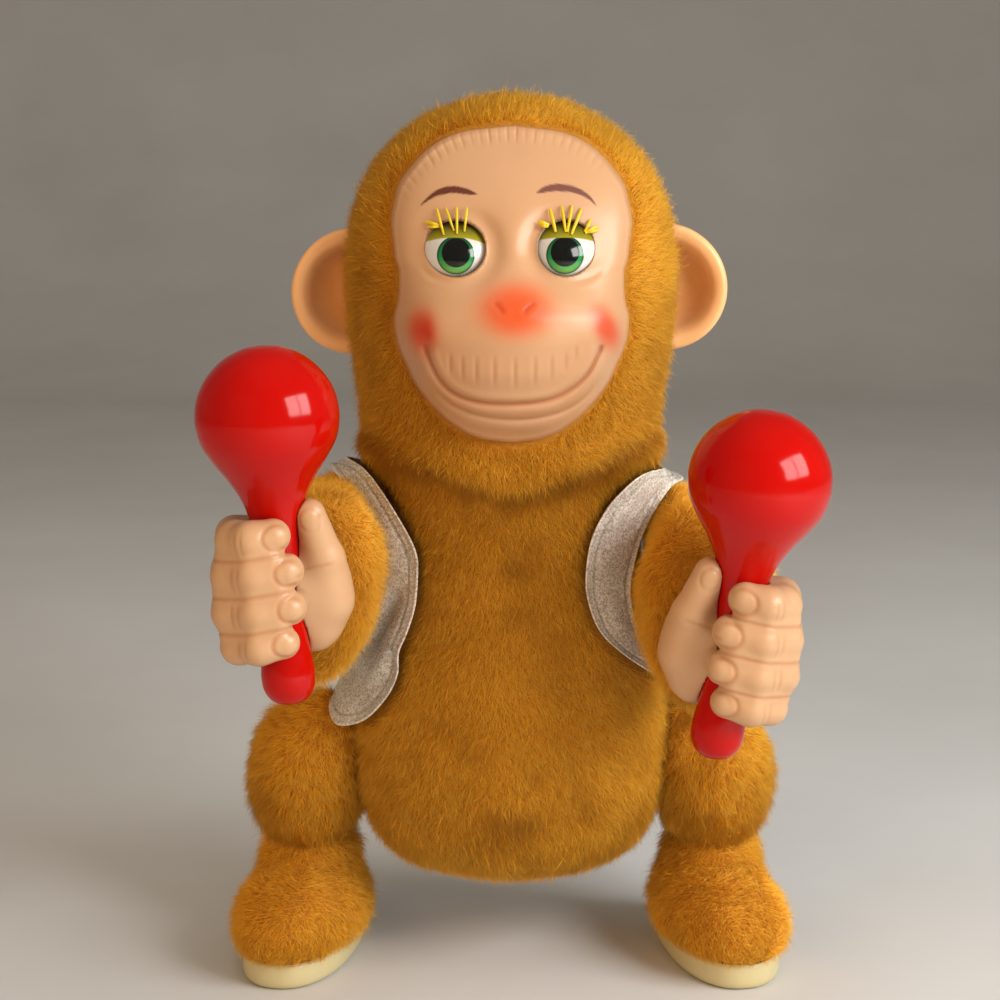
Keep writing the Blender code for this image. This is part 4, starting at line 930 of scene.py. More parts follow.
def face_relief(x, z, rho, angle):
    """How far each place of the face stands out (+) or in (-) from its smooth form."""
    r = np.zeros_like(x)
    # the bridge between the eyes and the broad low nose with two slanted nostrils
    r += 0.8 * np.exp(-((x / 4.8) ** 2 + ((z - 197.0) / 9.0) ** 2))
    r += 1.0 * np.exp(-(((x - 0.5) / 9.0) ** 2 + ((z - 181.6) / 6.0) ** 2))
    for line in NOSTRILS:
        gap, share = line_gap(x, z, line, 14)
        r -= 0.17 * gauss(gap, 0.6)
        r += 0.07 * gauss(np.abs(gap) - 1.4, 0.8)
    # mouth: the smile line, the rolled lip under it and the crease below that
    gap, share = line_gap(x, z, SMILE)
    open_ends = ends(share, 0.07)
    r -= 0.95 * gauss(gap, 0.62) * open_ends
    r += 0.45 * gauss(gap - 2.1, 1.2) * ends(share, 0.16)
    r += 0.35 * gauss(gap + 1.7, 1.2) * ends(share, 0.12)
    gap, share = line_gap(x, z, LOWER_LIP)
    r -= 0.55 * gauss(gap, 0.66) * ends(share, 0.2)
    r += 0.25 * gauss(gap - 2.0, 1.4) * ends(share, 0.2)
    for cx, cz in ((-21.0, 171.0), (22.0, 171.0)):
        r -= 0.55 * np.exp(-(((x - cx) / 1.5) ** 2 + ((z - cz) / 2.2) ** 2))
    # upright creases over the lip
    for gx, gz, tall in LIP_LINES:
        r -= 0.16 * gauss(x - gx, 0.46) * np.exp(-((z - gz) / tall) ** 4)
        r += 0.04 * gauss(np.abs(x - gx) - 1.1, 0.6) * np.exp(-((z - gz) / tall) ** 4)
    # hairline notches round the top of the forehead
    notch = np.maximum(np.cos(angle * 102.0), 0.0) ** 2 * (0.62 + 0.38 * drift(np.stack([angle * 16.2, 0 * angle, 0 * angle], -1), 1.0, 4))
    r -= 0.30 * notch * steps(rho, 0.875, 0.925) * steps(1.0 - rho, 0.0, 0.02) * steps(np.degrees(angle), 40, 62) \
        * steps(146 - np.degrees(angle), 0, 14)
    # sockets, cheeks, and the small fold under each eye
    for s in (-1.0, 1.0):
        ex, ez, w, h = EYES[s]
        e = oval(s, x, z)
        inner = steps(-s * (x - ex), -2.0, 8.0)
        r -= (0.25 + 0.75 * inner) * gauss(e - 1.30, 0.34) * steps(e, 0.9, 1.12)
        r += 0.9 * np.exp(-(((x - s * 22.0) / 6.5) ** 2 + ((z - 176.0) / 7.5) ** 2))
        gap, share = line_gap(x, z, [(s * 13.6, 187.4), (s * 17.4, 187.8), (s * 20.6, 189.0), (s * 23.0, 191.2)], 30)
        r += (0.12 * gauss(np.abs(gap) - 1.4, 0.9) - 0.13 * gauss(gap, 0.7)) * ends(share, 0.35)
    # the rolled edge where the vinyl turns into the plush
    r += 0.30 * gauss(rho - 0.968, 0.018)
    return r


def brow(x, z, points, thick):
    """Soft mask of a tapered painted stroke."""
    gap, share = line_gap(x, z, points, 50)
    half = curve_through(thick)(share)
    return steps(half - np.abs(gap), -0.16, 0.16)


def build_face():
    n = 216
    g = np.linspace(-1, 1, n)
    gx, gy = np.meshgrid(g, g)
    px, py = gx * np.sqrt(1 - gy * gy / 2), gy * np.sqrt(1 - gx * gx / 2)
    rho = np.minimum(np.hypot(px, py), 1.0)
    angle = np.arctan2(py, px)
    reach = outline(angle)
    x, z = rho * reach * np.cos(angle), FACE_MID_Z + rho * reach * np.sin(angle)
    quads = quads_of(n, n, wrap=False)
    flat_x, flat_z = x.ravel().copy(), z.ravel().copy()
    rho, angle = rho.ravel(), angle.ravel()
    # eye openings: drop the faces inside and draw the rim points onto the oval
    gone = np.zeros(len(quads), bool)
    for s in (-1.0, 1.0):
        gone |= (oval(s, flat_x, flat_z)[quads] < 1.0).any(1)
    used = np.zeros(len(flat_x), bool)
    used[quads[~gone].ravel()] = True
    rim = np.zeros(len(flat_x), bool)
    rim[quads[gone].ravel()] = True
    rim &= used
    for s in (-1.0, 1.0):
        ex, ez, w, h = EYES[s]
        e = oval(s, flat_x, flat_z)
        near = rim & (e < 1.6)
        flat_x[near] = ex + (flat_x[near] - ex) / e[near]
        flat_z[near] = ez + (flat_z[near] - ez) / e[near]
    base, edge = face_base(flat_x, flat_z, rho, angle)
    relief = face_relief(flat_x, flat_z, rho, angle)
    y = base - relief
    last = rho > 0.9995
    y[last] = edge[last] + 3.2
    points = np.stack([flat_x, y, flat_z], 1)

    # colours: the toy's own, with painted shade in the nostrils, creases, eye rims and round the outline, and painted
    # light on the left brow
    skin = np.tile(np.array([0.545, 0.312, 0.166]), (len(points), 1))

    def lay(mask, colour):
        skin[:] = skin * (1 - mask[:, None]) + np.array(colour) * mask[:, None]
    cloud = 0.5 + 0.5 * drift(points, 10.0, 3)
    lay(0.08 * cloud, (0.51, 0.255, 0.110))
    nose = np.exp(-(((flat_x - 1.0) / 9.2) ** 2 + ((flat_z - 181.0) / 6.6) ** 2) ** 1.8)
    lay(0.94 * nose, (0.66, 0.078, 0.012))
    # painted shade in the nostril dimples
    for line in NOSTRILS:
        gap, share = line_gap(flat_x, flat_z, line, 14)
        lay(0.45 * gauss(gap, 0.6), (0.40, 0.030, 0.007))
    for bx, bz, tilt_x, w, h, deep in ((-22.0, 175.5, 0.0, 3.9, 5.6, 0.88), (23.3, 176.1, -0.34, 3.3, 5.7, 0.82)):
        q = flat_x - bx - tilt_x * (flat_z - bz)
        blush = np.exp(-((q / w) ** 2 + ((flat_z - bz) / h) ** 2) ** 1.5)
        lay(min(deep + 0.06, 1.0) * blush, (0.56, 0.050, 0.010))
    # a darker spot in the right blush, where the cheek creases: painted shade
    lay(0.45 * np.exp(-(((flat_x + 20.6) / 1.5) ** 2 + ((flat_z - 175.6) / 3.6) ** 2)), (0.38, 0.018, 0.004))
    gap, share = line_gap(flat_x, flat_z, SMILE)
    # painted shade: a dark line along the smile groove
    lay(0.66 * gauss(gap, 0.50) * ends(share, 0.08), (0.34, 0.080, 0.022))
    lay(0.12 * gauss(gap - 2.0, 1.6) * ends(share, 0.2), (0.56, 0.23, 0.105))
    gap, share = line_gap(flat_x, flat_z, LOWER_LIP)
    # painted shade along the crease under the lower lip
    lay(0.30 * gauss(gap, 0.55) * ends(share, 0.22), (0.36, 0.125, 0.042))
    # painted shade in the upright creases over the lip
    for gx_, gz_, tall in LIP_LINES:
        lay(0.26 * gauss(flat_x - gx_, 0.42) * np.exp(-((flat_z - gz_) / tall) ** 4), (0.38, 0.145, 0.050))
    # a dark line round each eye opening, widened at the top into painted shadow under the rim
    for s in (-1.0, 1.0):
        e = oval(s, flat_x, flat_z)
        ex, ez, w, h = EYES[s]
        top = steps(flat_z - ez, 0.5, 4.5)
        lay(0.80 * steps(1.035 + 0.085 * top - e, 0.0, 0.05), (0.055, 0.022, 0.010))
    for line, thick, colour in BROWS:
        lay(0.95 * brow(flat_x, flat_z, line, thick), colour)
    # painted shade round the outline, where the plush overhangs the vinyl
    lay(0.34 * steps(rho, 0.955, 1.0), (0.32, 0.125, 0.045))
    return points, quads[~gone], skin


points, quads, skin = build_face()
face = mesh_object("face", points, quads[:, ::-1], VINYL)
paint_on(face, skin)
bm = bmesh.new()
bm.from_mesh(face.data)
loose = [v for v in bm.verts if not v.link_faces]
bmesh.ops.delete(bm, geom=loose, context="VERTS")
if sum(f.normal.y * f.calc_area() for f in bm.faces) > 0:
    bmesh.ops.reverse_faces(bm, faces=bm.faces)
eye_edges = [e for e in bm.edges if e.is_boundary and min(
    float(oval(s, e.verts[0].co.x * 1000, e.verts[0].co.z * 1000)) for s in (-1.0, 1.0)) < 1.3]
made = bmesh.ops.extrude_edge_only(bm, edges=eye_edges)
for v in (g for g in made["geom"] if isinstance(g, bmesh.types.BMVert)):
    v.co.y += 0.0016
bm.to_mesh(face.data)
bm.free()
face.data.shade_smooth()
wall = face.modifiers.new("wall", "SOLIDIFY")
wall.thickness = 0.0009
wall.offset = -1.0
piece(face, "toy_body", "skin_vinyl", "face_mask")


# ------------------------------------------------------------------------- eyes
def eye_finish(side):
    """Painted eye: white, green iris lit from below, black pupil, and an olive upper lid over them that darkens towards
    the top as painted shadow under the rim.
    """
    m, t, b = material("eye_paint_" + side)
    r = add(t, "ShaderNodeAttribute", attribute_name="iris").outputs["Fac"]
    dot = add(t, "ShaderNodeAttribute", attribute_name="pupil").outputs["Fac"]
    z = add(t, "ShaderNodeAttribute", attribute_name="lid").outputs["Fac"]
    low = add(t, "ShaderNodeAttribute", attribute_name="low").outputs["Fac"]
    rays = noise_tex(t, 700.0, 2.0)

    def over(under, colour, mask):
        mix = add(t, "ShaderNodeMix", data_type="RGBA")
        t.links.new(mask, mix.inputs[0])
        t.links.new(under, mix.inputs[6])
        t.links.new(colour, mix.inputs[7])
        return mix.outputs[2]
    white = ramp(t, rays, [(0.3, (0.58, 0.565, 0.545)), (0.7, (0.62, 0.61, 0.595))])
    green = ramp(t, low, [(0.0, (0.008, 0.110, 0.040)), (0.45, (0.014, 0.195, 0.060)), (0.72, (0.045, 0.300, 0.075)),
                          (1.0, (0.190, 0.460, 0.110))])
    ring = ramp(t, r, [(0.0, grey(1.0)), (0.40, grey(1.0)), (0.43, grey(0.70)), (0.448, grey(0.22)), (0.47, grey(0.30))])
    eye = over(white, multiply(t, green, ring), ramp(t, r, [(0.0, grey(1.0)), (0.458, grey(1.0)), (0.474, grey(0.0))]))
    black = ramp(t, rays, [(0.3, (0.002, 0.003, 0.003)), (0.7, (0.005, 0.006, 0.005))])
    eye = over(eye, black, ramp(t, dot, [(0.0, grey(1.0)), (0.347, grey(1.0)), (0.362, grey(0.0))]))
    # the olive lid darkens to near black towards the top: painted shadow under the rim
    lid = ramp(t, z, [(0.0, (0.34, 0.30, 0.016)), (0.10, (0.27, 0.245, 0.012)), (0.45, (0.150, 0.138, 0.009)), (0.75, (0.055, 0.047, 0.006)),
                      (1.0, (0.012, 0.010, 0.004))])
    eye = over(eye, lid, ramp(t, z, [(0.0, grey(0.0)), (0.008, grey(0.0)), (0.05, grey(1.0))]))
    t.links.new(eye, b.inputs["Base Color"])
    t.links.new(ramp(t, rays, [(0.3, grey(0.09)), (0.7, grey(0.13))]), b.inputs["Roughness"])
    b.inputs["Specular IOR Level"].default_value = 0.5
    return m


def face_at(x, z):
    """Depth of the smooth face at each place."""
    d = np.stack([x, np.zeros_like(x), z], -1)
    return face_base(x, z, np.minimum(face_ratio(d), 1.0), np.arctan2(z - FACE_MID_Z, x))[0]


def eye_seat(s):
    """The plane of an eye's rim: depth at its middle, and its slopes across and up."""
    ex, ez, w, h = EYES[s]
    t = np.linspace(0, 2 * math.pi, 48, endpoint=False)
    x, z = ex + w * np.cos(t), ez + h * np.sin(t)
    fit = np.linalg.lstsq(np.stack([np.ones(48), x - ex, z - ez], 1), face_at(x, z), rcond=None)[0]

    def seat(x, z):
        return fit[0] + 0.45 * fit[1] * (x - ex) + fit[2] * (z - ez)
    return seat


EYE_BULGE, EYE_SUNK = 3.3, 1.25
GAZE = {"right": ((-13.8, 193.75, 4.62), (-13.7, 194.4)), "left": ((13.1, 193.85, 4.60), (13.1, 194.6))}
LASHES = {  # from the middle of the eye: root x and z, tip x and z, half width
    "right": [(-2.9, 3.4, -4.7, 9.9, 0.46), (-0.4, 4.4, -2.5, 10.1, 0.44), (0.4, 3.7, 0.3, 10.3, 0.46), (2.2, 4.2, 2.9, 10.1, 0.46),
              (-3.6, 5.6, -7.6, 6.5, 0.62), (-3.9, 5.3, -7.2, 5.2, 0.50)],
    "left": [(-2.6, 4.0, -4.0, 9.8, 0.60), (-0.1, 4.0, -1.1, 10.5, 0.52), (0.3, 4.0, 1.6, 10.6, 0.52), (1.3, 3.4, 4.0, 9.8, 0.56),
             (-4.2, 5.6, -7.0, 6.5, 0.85), (-4.4, 5.3, -6.4, 5.6, 0.60), (4.6, 3.9, 6.3, 7.1, 0.55), (4.7, 3.8, 8.0, 5.4, 0.60),
             (4.7, 3.7, 8.4, 4.4, 0.50)]}
for side, s in SIDES:
    ex, ez, w, h = EYES[s]
    seat = eye_seat(s)

    def eye_front(x, z, s=s, seat=seat):
        return seat(x, z) + EYE_SUNK - EYE_BULGE * (1 - oval(s, x, z) ** 2) - 0.06 * (z - EYES[s][1]) + 13.0 * np.maximum(oval(s, x, z) - 1.0, 0.0)
    rows, cols = 56, 112
    out = np.concatenate([np.linspace(0.0, 1.16, rows), np.linspace(1.12, 0.0, 14)])
    t = np.arange(cols) * 2 * math.pi / cols
    x, z = ex + w * out[:, None] * np.cos(t), ez + h * out[:, None] * np.sin(t)
    y = eye_front(x, z)
    y[rows:] = seat(x[rows:], z[rows:]) + 2.4 + 1.4 * (1 - out[rows:, None])
    p = np.stack([x, y, z], -1).reshape(-1, 3)
    eye = outward(mesh_object(side + "_eyeball", p, quads_of(len(out), cols), eye_finish(side)))
    (ix, iz, ir), (bx, bz) = GAZE[side]
    behind = np.where(np.repeat(np.arange(len(out)) >= rows, cols), 9.0, 0.0)
    edge = 197.95 - 0.030 * np.minimum(s * (p[:, 0] - ex), 0.0) ** 2 * (1.0 if s < 0 else 0.5) - 0.022 * np.maximum(s * (p[:, 0] - ex), 0.0) ** 2
    for name, value in (("iris", np.hypot(p[:, 0] - ix, p[:, 2] - iz) + behind), ("pupil", np.hypot(p[:, 0] - bx, p[:, 2] - bz) + behind),
                        ("lid", (p[:, 2] - edge) * 2.4), ("low", (iz + 3.6 - p[:, 2]) * 10.0 / 8.0)):
        a = eye.data.attributes.new(name, "FLOAT", "POINT")
        a.data.foreach_set("value", np.clip(value / 10.0, 0, 1).astype(np.float32))
    piece(eye, "toy_body", "eye_plastic", side + "_eye")

    # lashes: slim yellow blades from the lid, over the rim and up the brow
    pts, fcs = [], []
    for bx, bz, tx, tz, wide in LASHES[side]:
        rows_l = 18
        t = np.linspace(0, 1, rows_l)
        cx = ex + bx + (tx - bx) * t
        cz = ez + bz + (tz - bz) * t
        lift = np.minimum(face_at(cx, cz), np.where(oval(s, cx, cz) < 1.1, eye_front(cx, cz), 0.0))
        cy = lift - 0.30 - 0.55 * np.sin(math.pi * t) ** 2 - 0.25 * t
        dirn = unit(np.array([[tx - bx, tz - bz]]))[0]
        half = 0.74 * wide * (0.55 + 0.45 * np.sin(math.pi * (0.15 + 0.6 * t))) * (1 - 0.75 * steps(t, 0.88, 1.0))
        base = len(pts)
        for k in range(rows_l):
            for a in range(8):
                q = 2 * math.pi * a / 8
                pts.append((cx[k] + dirn[1] * half[k] * math.cos(q), cy[k] + 0.22 * math.sin(q), cz[k] - dirn[0] * half[k] * math.cos(q)))
        for k in range(rows_l - 1):
            for a in range(8):
                n = (a + 1) % 8
                fcs.append((base + k * 8 + a, base + k * 8 + n, base + (k + 1) * 8 + n, base + (k + 1) * 8 + a))
        fcs.append(tuple(base + a for a in reversed(range(8))))
        fcs.append(tuple(base + (rows_l - 1) * 8 + a for a in range(8)))
    lashes = outward(mesh_object(side + "_lashes", pts, fcs, YELLOW))
    piece(lashes, "toy_body", "lash_plastic", side + "_eyelashes")

# ------------------------------------------------------------------------- ears
EAR = {"right": (42.0, 5.0, 181.4), "left": (41.2, 5.0, 182.6)}
EAR_LINE = [(0.0, 6.6), (5.0, 6.3), (9.5, 5.2), (13.2, 3.0), (15.6, 0.2), (16.5, -2.2), (16.2, -4.0), (15.0, -4.9), (13.4, -4.7),
            (11.8, -3.2), (10.4, -0.7), (8.2, 1.7), (5.0, 3.2), (0.0, 3.8)]
for side, s in SIDES:
    line = smooth_profile(EAR_LINE, 70)
    p = turned_points(line, 96)
    p = np.stack([p[:, 0], p[:, 2], p[:, 1]], 1)
    r = np.hypot(p[:, 0], p[:, 2])
    out = s * p[:, 0] / np.maximum(r, 1e-6)
    up = p[:, 2] / np.maximum(r, 1e-6)
    p[:, 1] += -1.4 * steps(out, 0.2, 1.0) * steps(r, 9, 16) + 0.5 * drift(p, 7.0, 8) * steps(r, 2, 8)
    p[:, 2] *= 1.0 + 0.04 * np.maximum(up, 0)
    ear = outward(mesh_object(side + "_ear_shell", p + np.array(EAR[side]) * np.array([s, 1, 1]), quads_of(70, 96), VINYL))
    bowl = steps(11.6 - r, 0.0, 4.5) * steps(3.9 - p[:, 1], -0.4, 0.6)
    tint = np.tile(np.array([0.88, 0.475, 0.205]), (len(p), 1))
    tint = tint * (1 - 0.62 * bowl[:, None]) + np.array([0.98, 0.46, 0.140]) * 0.62 * bowl[:, None]
    paint_on(ear, tint)
    piece(ear, "toy_body", "skin_vinyl", side + "_ear")


# ------------------------------------------------------------------------- arms
SHOULDER = (44.0, 0.0, 118.0)
ARM_REST = 6.0
HAND = {"right": (11.0, -70.0, -8.0), "left": (8.8, -70.0, -8.0)}
LEAN = {"right": 3.6, "left": 7.8}
TIP = {"right": -0.1, "left": 0.05}
BULB_UP = 40.4
SLEEVE = [(-15.0, 2.2, 2.2, 2.2), (-12.6, 8.4, 8.4, 8.4), (-8.0, 13.0, 13.2, 13.0), (0.0, 15.2, 16.2, 15.4), (12.0, 15.8, 20.6, 16.4),
          (24.0, 16.2, 26.4, 17.0), (35.0, 16.4, 30.4, 17.2), (44.0, 16.0, 31.0, 17.0), (50.5, 14.6, 28.4, 15.8),
          (54.6, 12.0, 22.6, 13.2), (56.8, 8.2, 14.4, 9.0)]  # along the arm, then half sizes up, down and outward
SLEEVE_INSIDE = [(0.0, 36.8), (20.0, 35.8), (28.0, 34.2), (36.0, 31.8), (46.0, 31.8), (51.0, 33.4)]  # along the arm, inner side's X
SHOULDER_DROP = {"right": 0.0, "left": 3.4}
BULB = [(0.0, 17.0), (3.5, 16.65), (6.7, 15.6), (9.7, 13.95), (12.2, 11.8), (14.3, 9.2), (15.9, 6.1), (16.75, 2.9), (17.0, 0.0),
        (16.7, -2.8), (16.0, -5.5), (13.6, -9.8), (10.4, -14.4), (7.9, -18.8), (6.4, -23.0), (5.3, -28.5), (4.8, -36.0)]
GRIP = [(4.8, -36.2), (4.8, -42.0), (5.1, -49.0), (5.8, -56.0), (6.3, -59.4), (6.5, -62.0), (6.35, -64.4), (5.6, -66.6), (4.1, -68.3),
        (2.2, -69.15), (0.0, -69.4)]
FINGERS = [  # middle height, radius, knuckle x, tip x
    (13.1, 4.40, -10.3, 0.1), (4.6, 4.70, -11.8, 2.3), (-4.2, 4.55, -12.5, 2.4), (-12.5, 4.15, -11.4, 0.5)]
NAILS = [(xt + 1.0, zc + 0.6) for zc, r, xk, xt in FINGERS]
grip_at = curve_through([(h + BULB_UP, r) for r, h in reversed(BULB[10:] + GRIP[1:])])


def finger_web(p):
    """What fills the folds between the fingers: their common path, a little thinner than they are."""
    x, y, z = p[..., 0], p[..., 1], p[..., 2]
    rows = [row for row in reversed(FINGERS)]
    r, xk, xt = (np.interp(z, [row[0] for row in rows], [row[k] for row in rows]) for k in (1, 2, 3))
    path = [(-6.0 + 0 * z, 9.0), (xk, 3.2), (xk + 0.9, -5.0), (-5.2 + 0 * z, -9.4), (xt - 2.4, -8.95)]
    best = np.full(x.shape, 1e9)
    for (ax, ay), (bx, by) in zip(path, path[1:]):
        dx, dy = bx - ax, by - ay
        t = np.clip(((x - ax) * dx + (y - ay) * dy) / (dx * dx + dy * dy), 0, 1)
        best = np.minimum(best, np.hypot(x - ax - t * dx, y - ay - t * dy))
    return np.maximum(best - (r - 0.12 - 0.26 * steps(x, -14.5, -8.0)), np.abs(z - 0.3) - 13.2)


def hand_field(p):
    """A fist closed round an upright stick: fingers come round the outer side, thumb up the inner side."""
    f = ball(p, (6.3, 6.6, -2.5), (9.8, 8.6, 15.5))
    f = smooth_min(f, ball(p, (-4.6, 8.8, -1.0), (10.4, 7.0, 16.3)), 4.0)
    f = smooth_min(f, limb(p, (0.5, 8.0, -1.0), (2.6, 19.0, 1.2), 11.5, 10.6), 5.0)
    thumb = smooth_min(limb(p, (11.0, 4.5, -5.0), (10.3, 1.8, 5.6), 5.6, 5.1), limb(p, (10.3, 1.8, 5.6), (8.2, -0.8, 16.9), 5.1, 3.8), 1.2)
    f = smooth_min(f, thumb, 2.6)
    fingers = None
    for zc, r, xk, xt in FINGERS:
        chain = [(-6.0, 9.0, zc * 0.92 - 0.4), (xk, 3.2, zc - 0.7), (xk + 0.9, -5.0, zc - 0.5), (-5.2, -9.4, zc), (xt, -8.7, zc + 0.6)]
        radii = [r, r, r * 0.99, r * 0.98, r * 0.93]
        one = None
        for a, b, ra, rb in zip(chain, chain[1:], radii, radii[1:]):
            d = limb(p, a, b, ra, rb)
            one = d if one is None else smooth_min(one, d, 1.6)
        fingers = one if fingers is None else smooth_min(fingers, one, 0.5)
    fingers = smooth_min(fingers, finger_web(p), 0.45)
    fingers = smooth_min(fingers, limb(p, (-6.3, 4.0, 11.6), (-6.0, -4.0, 12.2), 4.7, 4.3), 1.6)
    f = smooth_min(f, fingers, 1.3)
    stick = np.hypot(p[..., 0], p[..., 1]) - (grip_at(p[..., 2]) + 0.12)
    return np.maximum(f, -stick)


def build_hand():
    step = 0.40
    p, origin = grid_of((-20.0, -16.5, -22.0), (20.0, 24.0, 24.0), step)
    points, quads = surface_net(hand_field(p), origin, step)
    n = normals_of(points, quads)
    x, y, z = points.T
    # line gathers the nail grooves, the thumb pad's rim, the finger creases and the folds; it is laid on the fist as
    # painted shade in them
    move, line = np.zeros(len(points)), np.zeros(len(points))
    front = steps(-n[:, 1], 0.10, 0.45) * steps(-y, 1.0, 4.0)
    for nx, nz in NAILS:
        e = np.hypot((x - nx) / 3.2, (z - nz) / 3.05)
        toward_tip = steps(x - nx, 0.6, 2.8)
        groove = gauss(e - 1.0, 0.17) * (1 - 0.75 * toward_tip)
        move += front * (0.06 * steps(1.02 - e, 0.0, 0.30) - 0.22 * groove)
        line = np.maximum(line, front * groove)
    e = np.hypot((x - 8.3) / 2.5, (z - 16.0) / 2.9)
    pad = steps(-n[:, 1], 0.2, 0.5) * steps(-y, 1.0, 2.6) * gauss(e - 1.0, 0.18) * steps(z, 12.4, 14.4)
    move -= 0.20 * pad
    line = np.maximum(line, 0.4 * pad)
    for zc, r, xk, xt in FINGERS:
        for cx, deep in ((xk + 1.5, 0.17), (xk + 3.1, 0.15)):
            at_x = cx + 0.05 * (z - zc) ** 2
            cut = front * gauss(x - at_x, 0.36) * np.exp(-((z - zc + 0.3) / (0.58 * r)) ** 4)
            move -= deep * cut
            line = np.maximum(line, 0.6 * cut)
    # the fold where the thumb leaves the palm
    fold = steps(-n[:, 1], 0.0, 0.4) * gauss(z - 4.4 - 0.12 * (x - 8.0), 0.42) * steps(x, 4.0, 6.0) * steps(14.0 - x, 0.0, 3.0)
    move -= 0.32 * fold
    line = np.maximum(line, 0.6 * fold)
    for (z0, r0, *_), (z1, r1, *_) in zip(FINGERS, FINGERS[1:]):
        fold = z - (z0 - r0 + z1 + r1) / 2 - np.interp(x, [-12.0, -5.2, 2.4], [-0.6, 0.0, 0.6])
        along_fold = steps(-y, -5, 2) * steps(5.0 - x, 0.0, 2.0)
        move -= 0.34 * gauss(fold, 0.42) * along_fold
        line = np.maximum(line, 0.9 * gauss(fold, 0.5) * along_fold)
    return points + n * move[:, None], quads, line


hand_points, hand_quads, hand_crease_shade = build_hand()

sleeve_up, sleeve_down, sleeve_out = (curve_through([(row[0], row[k]) for row in SLEEVE]) for k in (1, 2, 3))
sleeve_inside = curve_through(SLEEVE_INSIDE)


def sleeve_skin(side, s, along, inset, rows=72, columns=80):
    """A sleeve round the arm's line, flattened on the side that lies along the body."""
    u = np.linspace(0, 1, rows)
    t = (-15.0 + 71.8 * (u - 0.085 * np.sin(2 * math.pi * u)))[:, None]
    a = np.arange(columns) * 2 * math.pi / columns
    c, q = np.cos(a), np.sin(a)
    across = unit(np.array([1.0, 0.0, 0.0]) - along * along[0])
    upright = np.cross(across, along)
    upright *= np.sign(upright[2])
    middle = along * t
    out = sleeve_out(t[:, 0])[:, None]
    near = np.clip(SHOULDER[0] + s * middle[:, :1] - sleeve_inside(t[:, 0])[:, None], 1.5, out)
    top = sleeve_up(t[:, 0])[:, None]
    top = np.minimum(top, np.maximum(top - SHOULDER_DROP[side] * (1 - steps(t, 4.0, 26.0)), 2.0))
    over = s * c * np.where(c > 0, out, near)
    lift = q * np.where(q > 0, top, sleeve_down(t[:, 0])[:, None])
    p = middle[:, None, :] + across * over[..., None] + upright * lift[..., None]
    p = p.reshape(-1, 3)
    quads = facing(p, quads_of(rows, columns), along * 24.0)
    return p - normals_of(p, quads) * inset, quads


for side, s in SIDES:
    body = side + "_arm"
    pose = Matrix.Rotation(math.radians(s * ARM_REST), 3, "X")
    pose = np.array(pose)
    shoulder = np.array(SHOULDER) * np.array([s, 1, 1])
    hand = np.array(HAND[side]) * np.array([s, 1, 1])
    along = unit(hand[None])[0]
    up = unit(np.array([[s * math.tan(math.radians(LEAN[side])), TIP[side], 1.0]]))[0]
    tilt = np.array(Vector(up).to_track_quat("Z", "Y").to_matrix())

    def to_toy(p):
        return p @ pose.T + shoulder

    # sleeve, closed at both ends
    p, quads = sleeve_skin(side, s, along, 1.0)
    p = to_toy(p)
    faces = [tuple(f) for f in quads] + [tuple(range(80)), tuple(range(len(p) - 1, len(p) - 81, -1))]
    cloth = outward(mesh_object(side + "_sleeve_cloth", p, faces, CLOTH))
    piece(cloth, body, "golden_plush", side + "_sleeve")
    reach = pose @ along

    def sleeve_comb(q, n, reach=reach, shoulder=shoulder):
        d = np.tile(reach + np.array([0, 0, -0.45]), (len(q), 1))
        return d

    def sleeve_keep(q, n, s=s):
        a = torso_at(q[:, 2]) + 1.0
        return (q[:, 0] / a) ** 2 + (q[:, 1] / (TORSO_DEPTH * a)) ** 2 > 1

    furred(side + "_sleeve_pile", p, quads, sleeve_comb, body, sleeve_keep, seed=11 if s < 0 else 12, length=4.6, lean=58.0,
           split=[("_inner", lambda q, s=s: s * q[:, 0] < 47.0), ("_outer", lambda q, s=s: s * q[:, 0] >= 47.0)])

    # maraca: a hollow bulb on a turned stick
    for label, prof, count in (("bulb", BULB, 90), ("stick", GRIP, 60)):
        line = smooth_profile(prof, count)
        if label == "stick":
            line = np.concatenate([[[0.0, -30.0], [2.6, -30.0], [2.6, -36.2]], line])
        else:
            line = np.concatenate([line, [[3.0, -36.0], [3.0, -24.0], [9.0, -14.0], [14.6, -4.0], [15.2, 2.0], [10.4, 11.0], [0.0, 15.2]]])
        q = turned_points(line, 96) @ tilt.T + hand + up * BULB_UP
        m = outward(mesh_object(f"{side}_maraca_{label}_shell", to_toy(q), quads_of(len(line), 96), RED))
        piece(m, body, "red_plastic", f"{side}_maraca_" + ("bulb" if label == "bulb" else "handle"))

    # hand
    q = hand_points * np.array([-s, 1.0, 1.0])
    quads = hand_quads if s < 0 else hand_quads[:, ::-1]
    basis = np.stack([unit(np.cross(np.array([[0, 1, 0]]), up[None]))[0], np.zeros(3), up], 1)
    basis[:, 1] = np.cross(basis[:, 2], basis[:, 0])
    q = to_toy(q @ basis.T + hand)
    fist = mesh_object(side + "_fist", q, quads, VINYL)
    outward(fist)
    tint = np.tile(np.array([0.55, 0.325, 0.176]), (len(q), 1))
    # darker in the grooves and folds: painted shade
    k = 0.50 * hand_crease_shade[:, None]
    paint_on(fist, tint * (1 - k) + np.array([0.42, 0.155, 0.058]) * k)
    piece(fist, body, "skin_vinyl", side + "_hand")

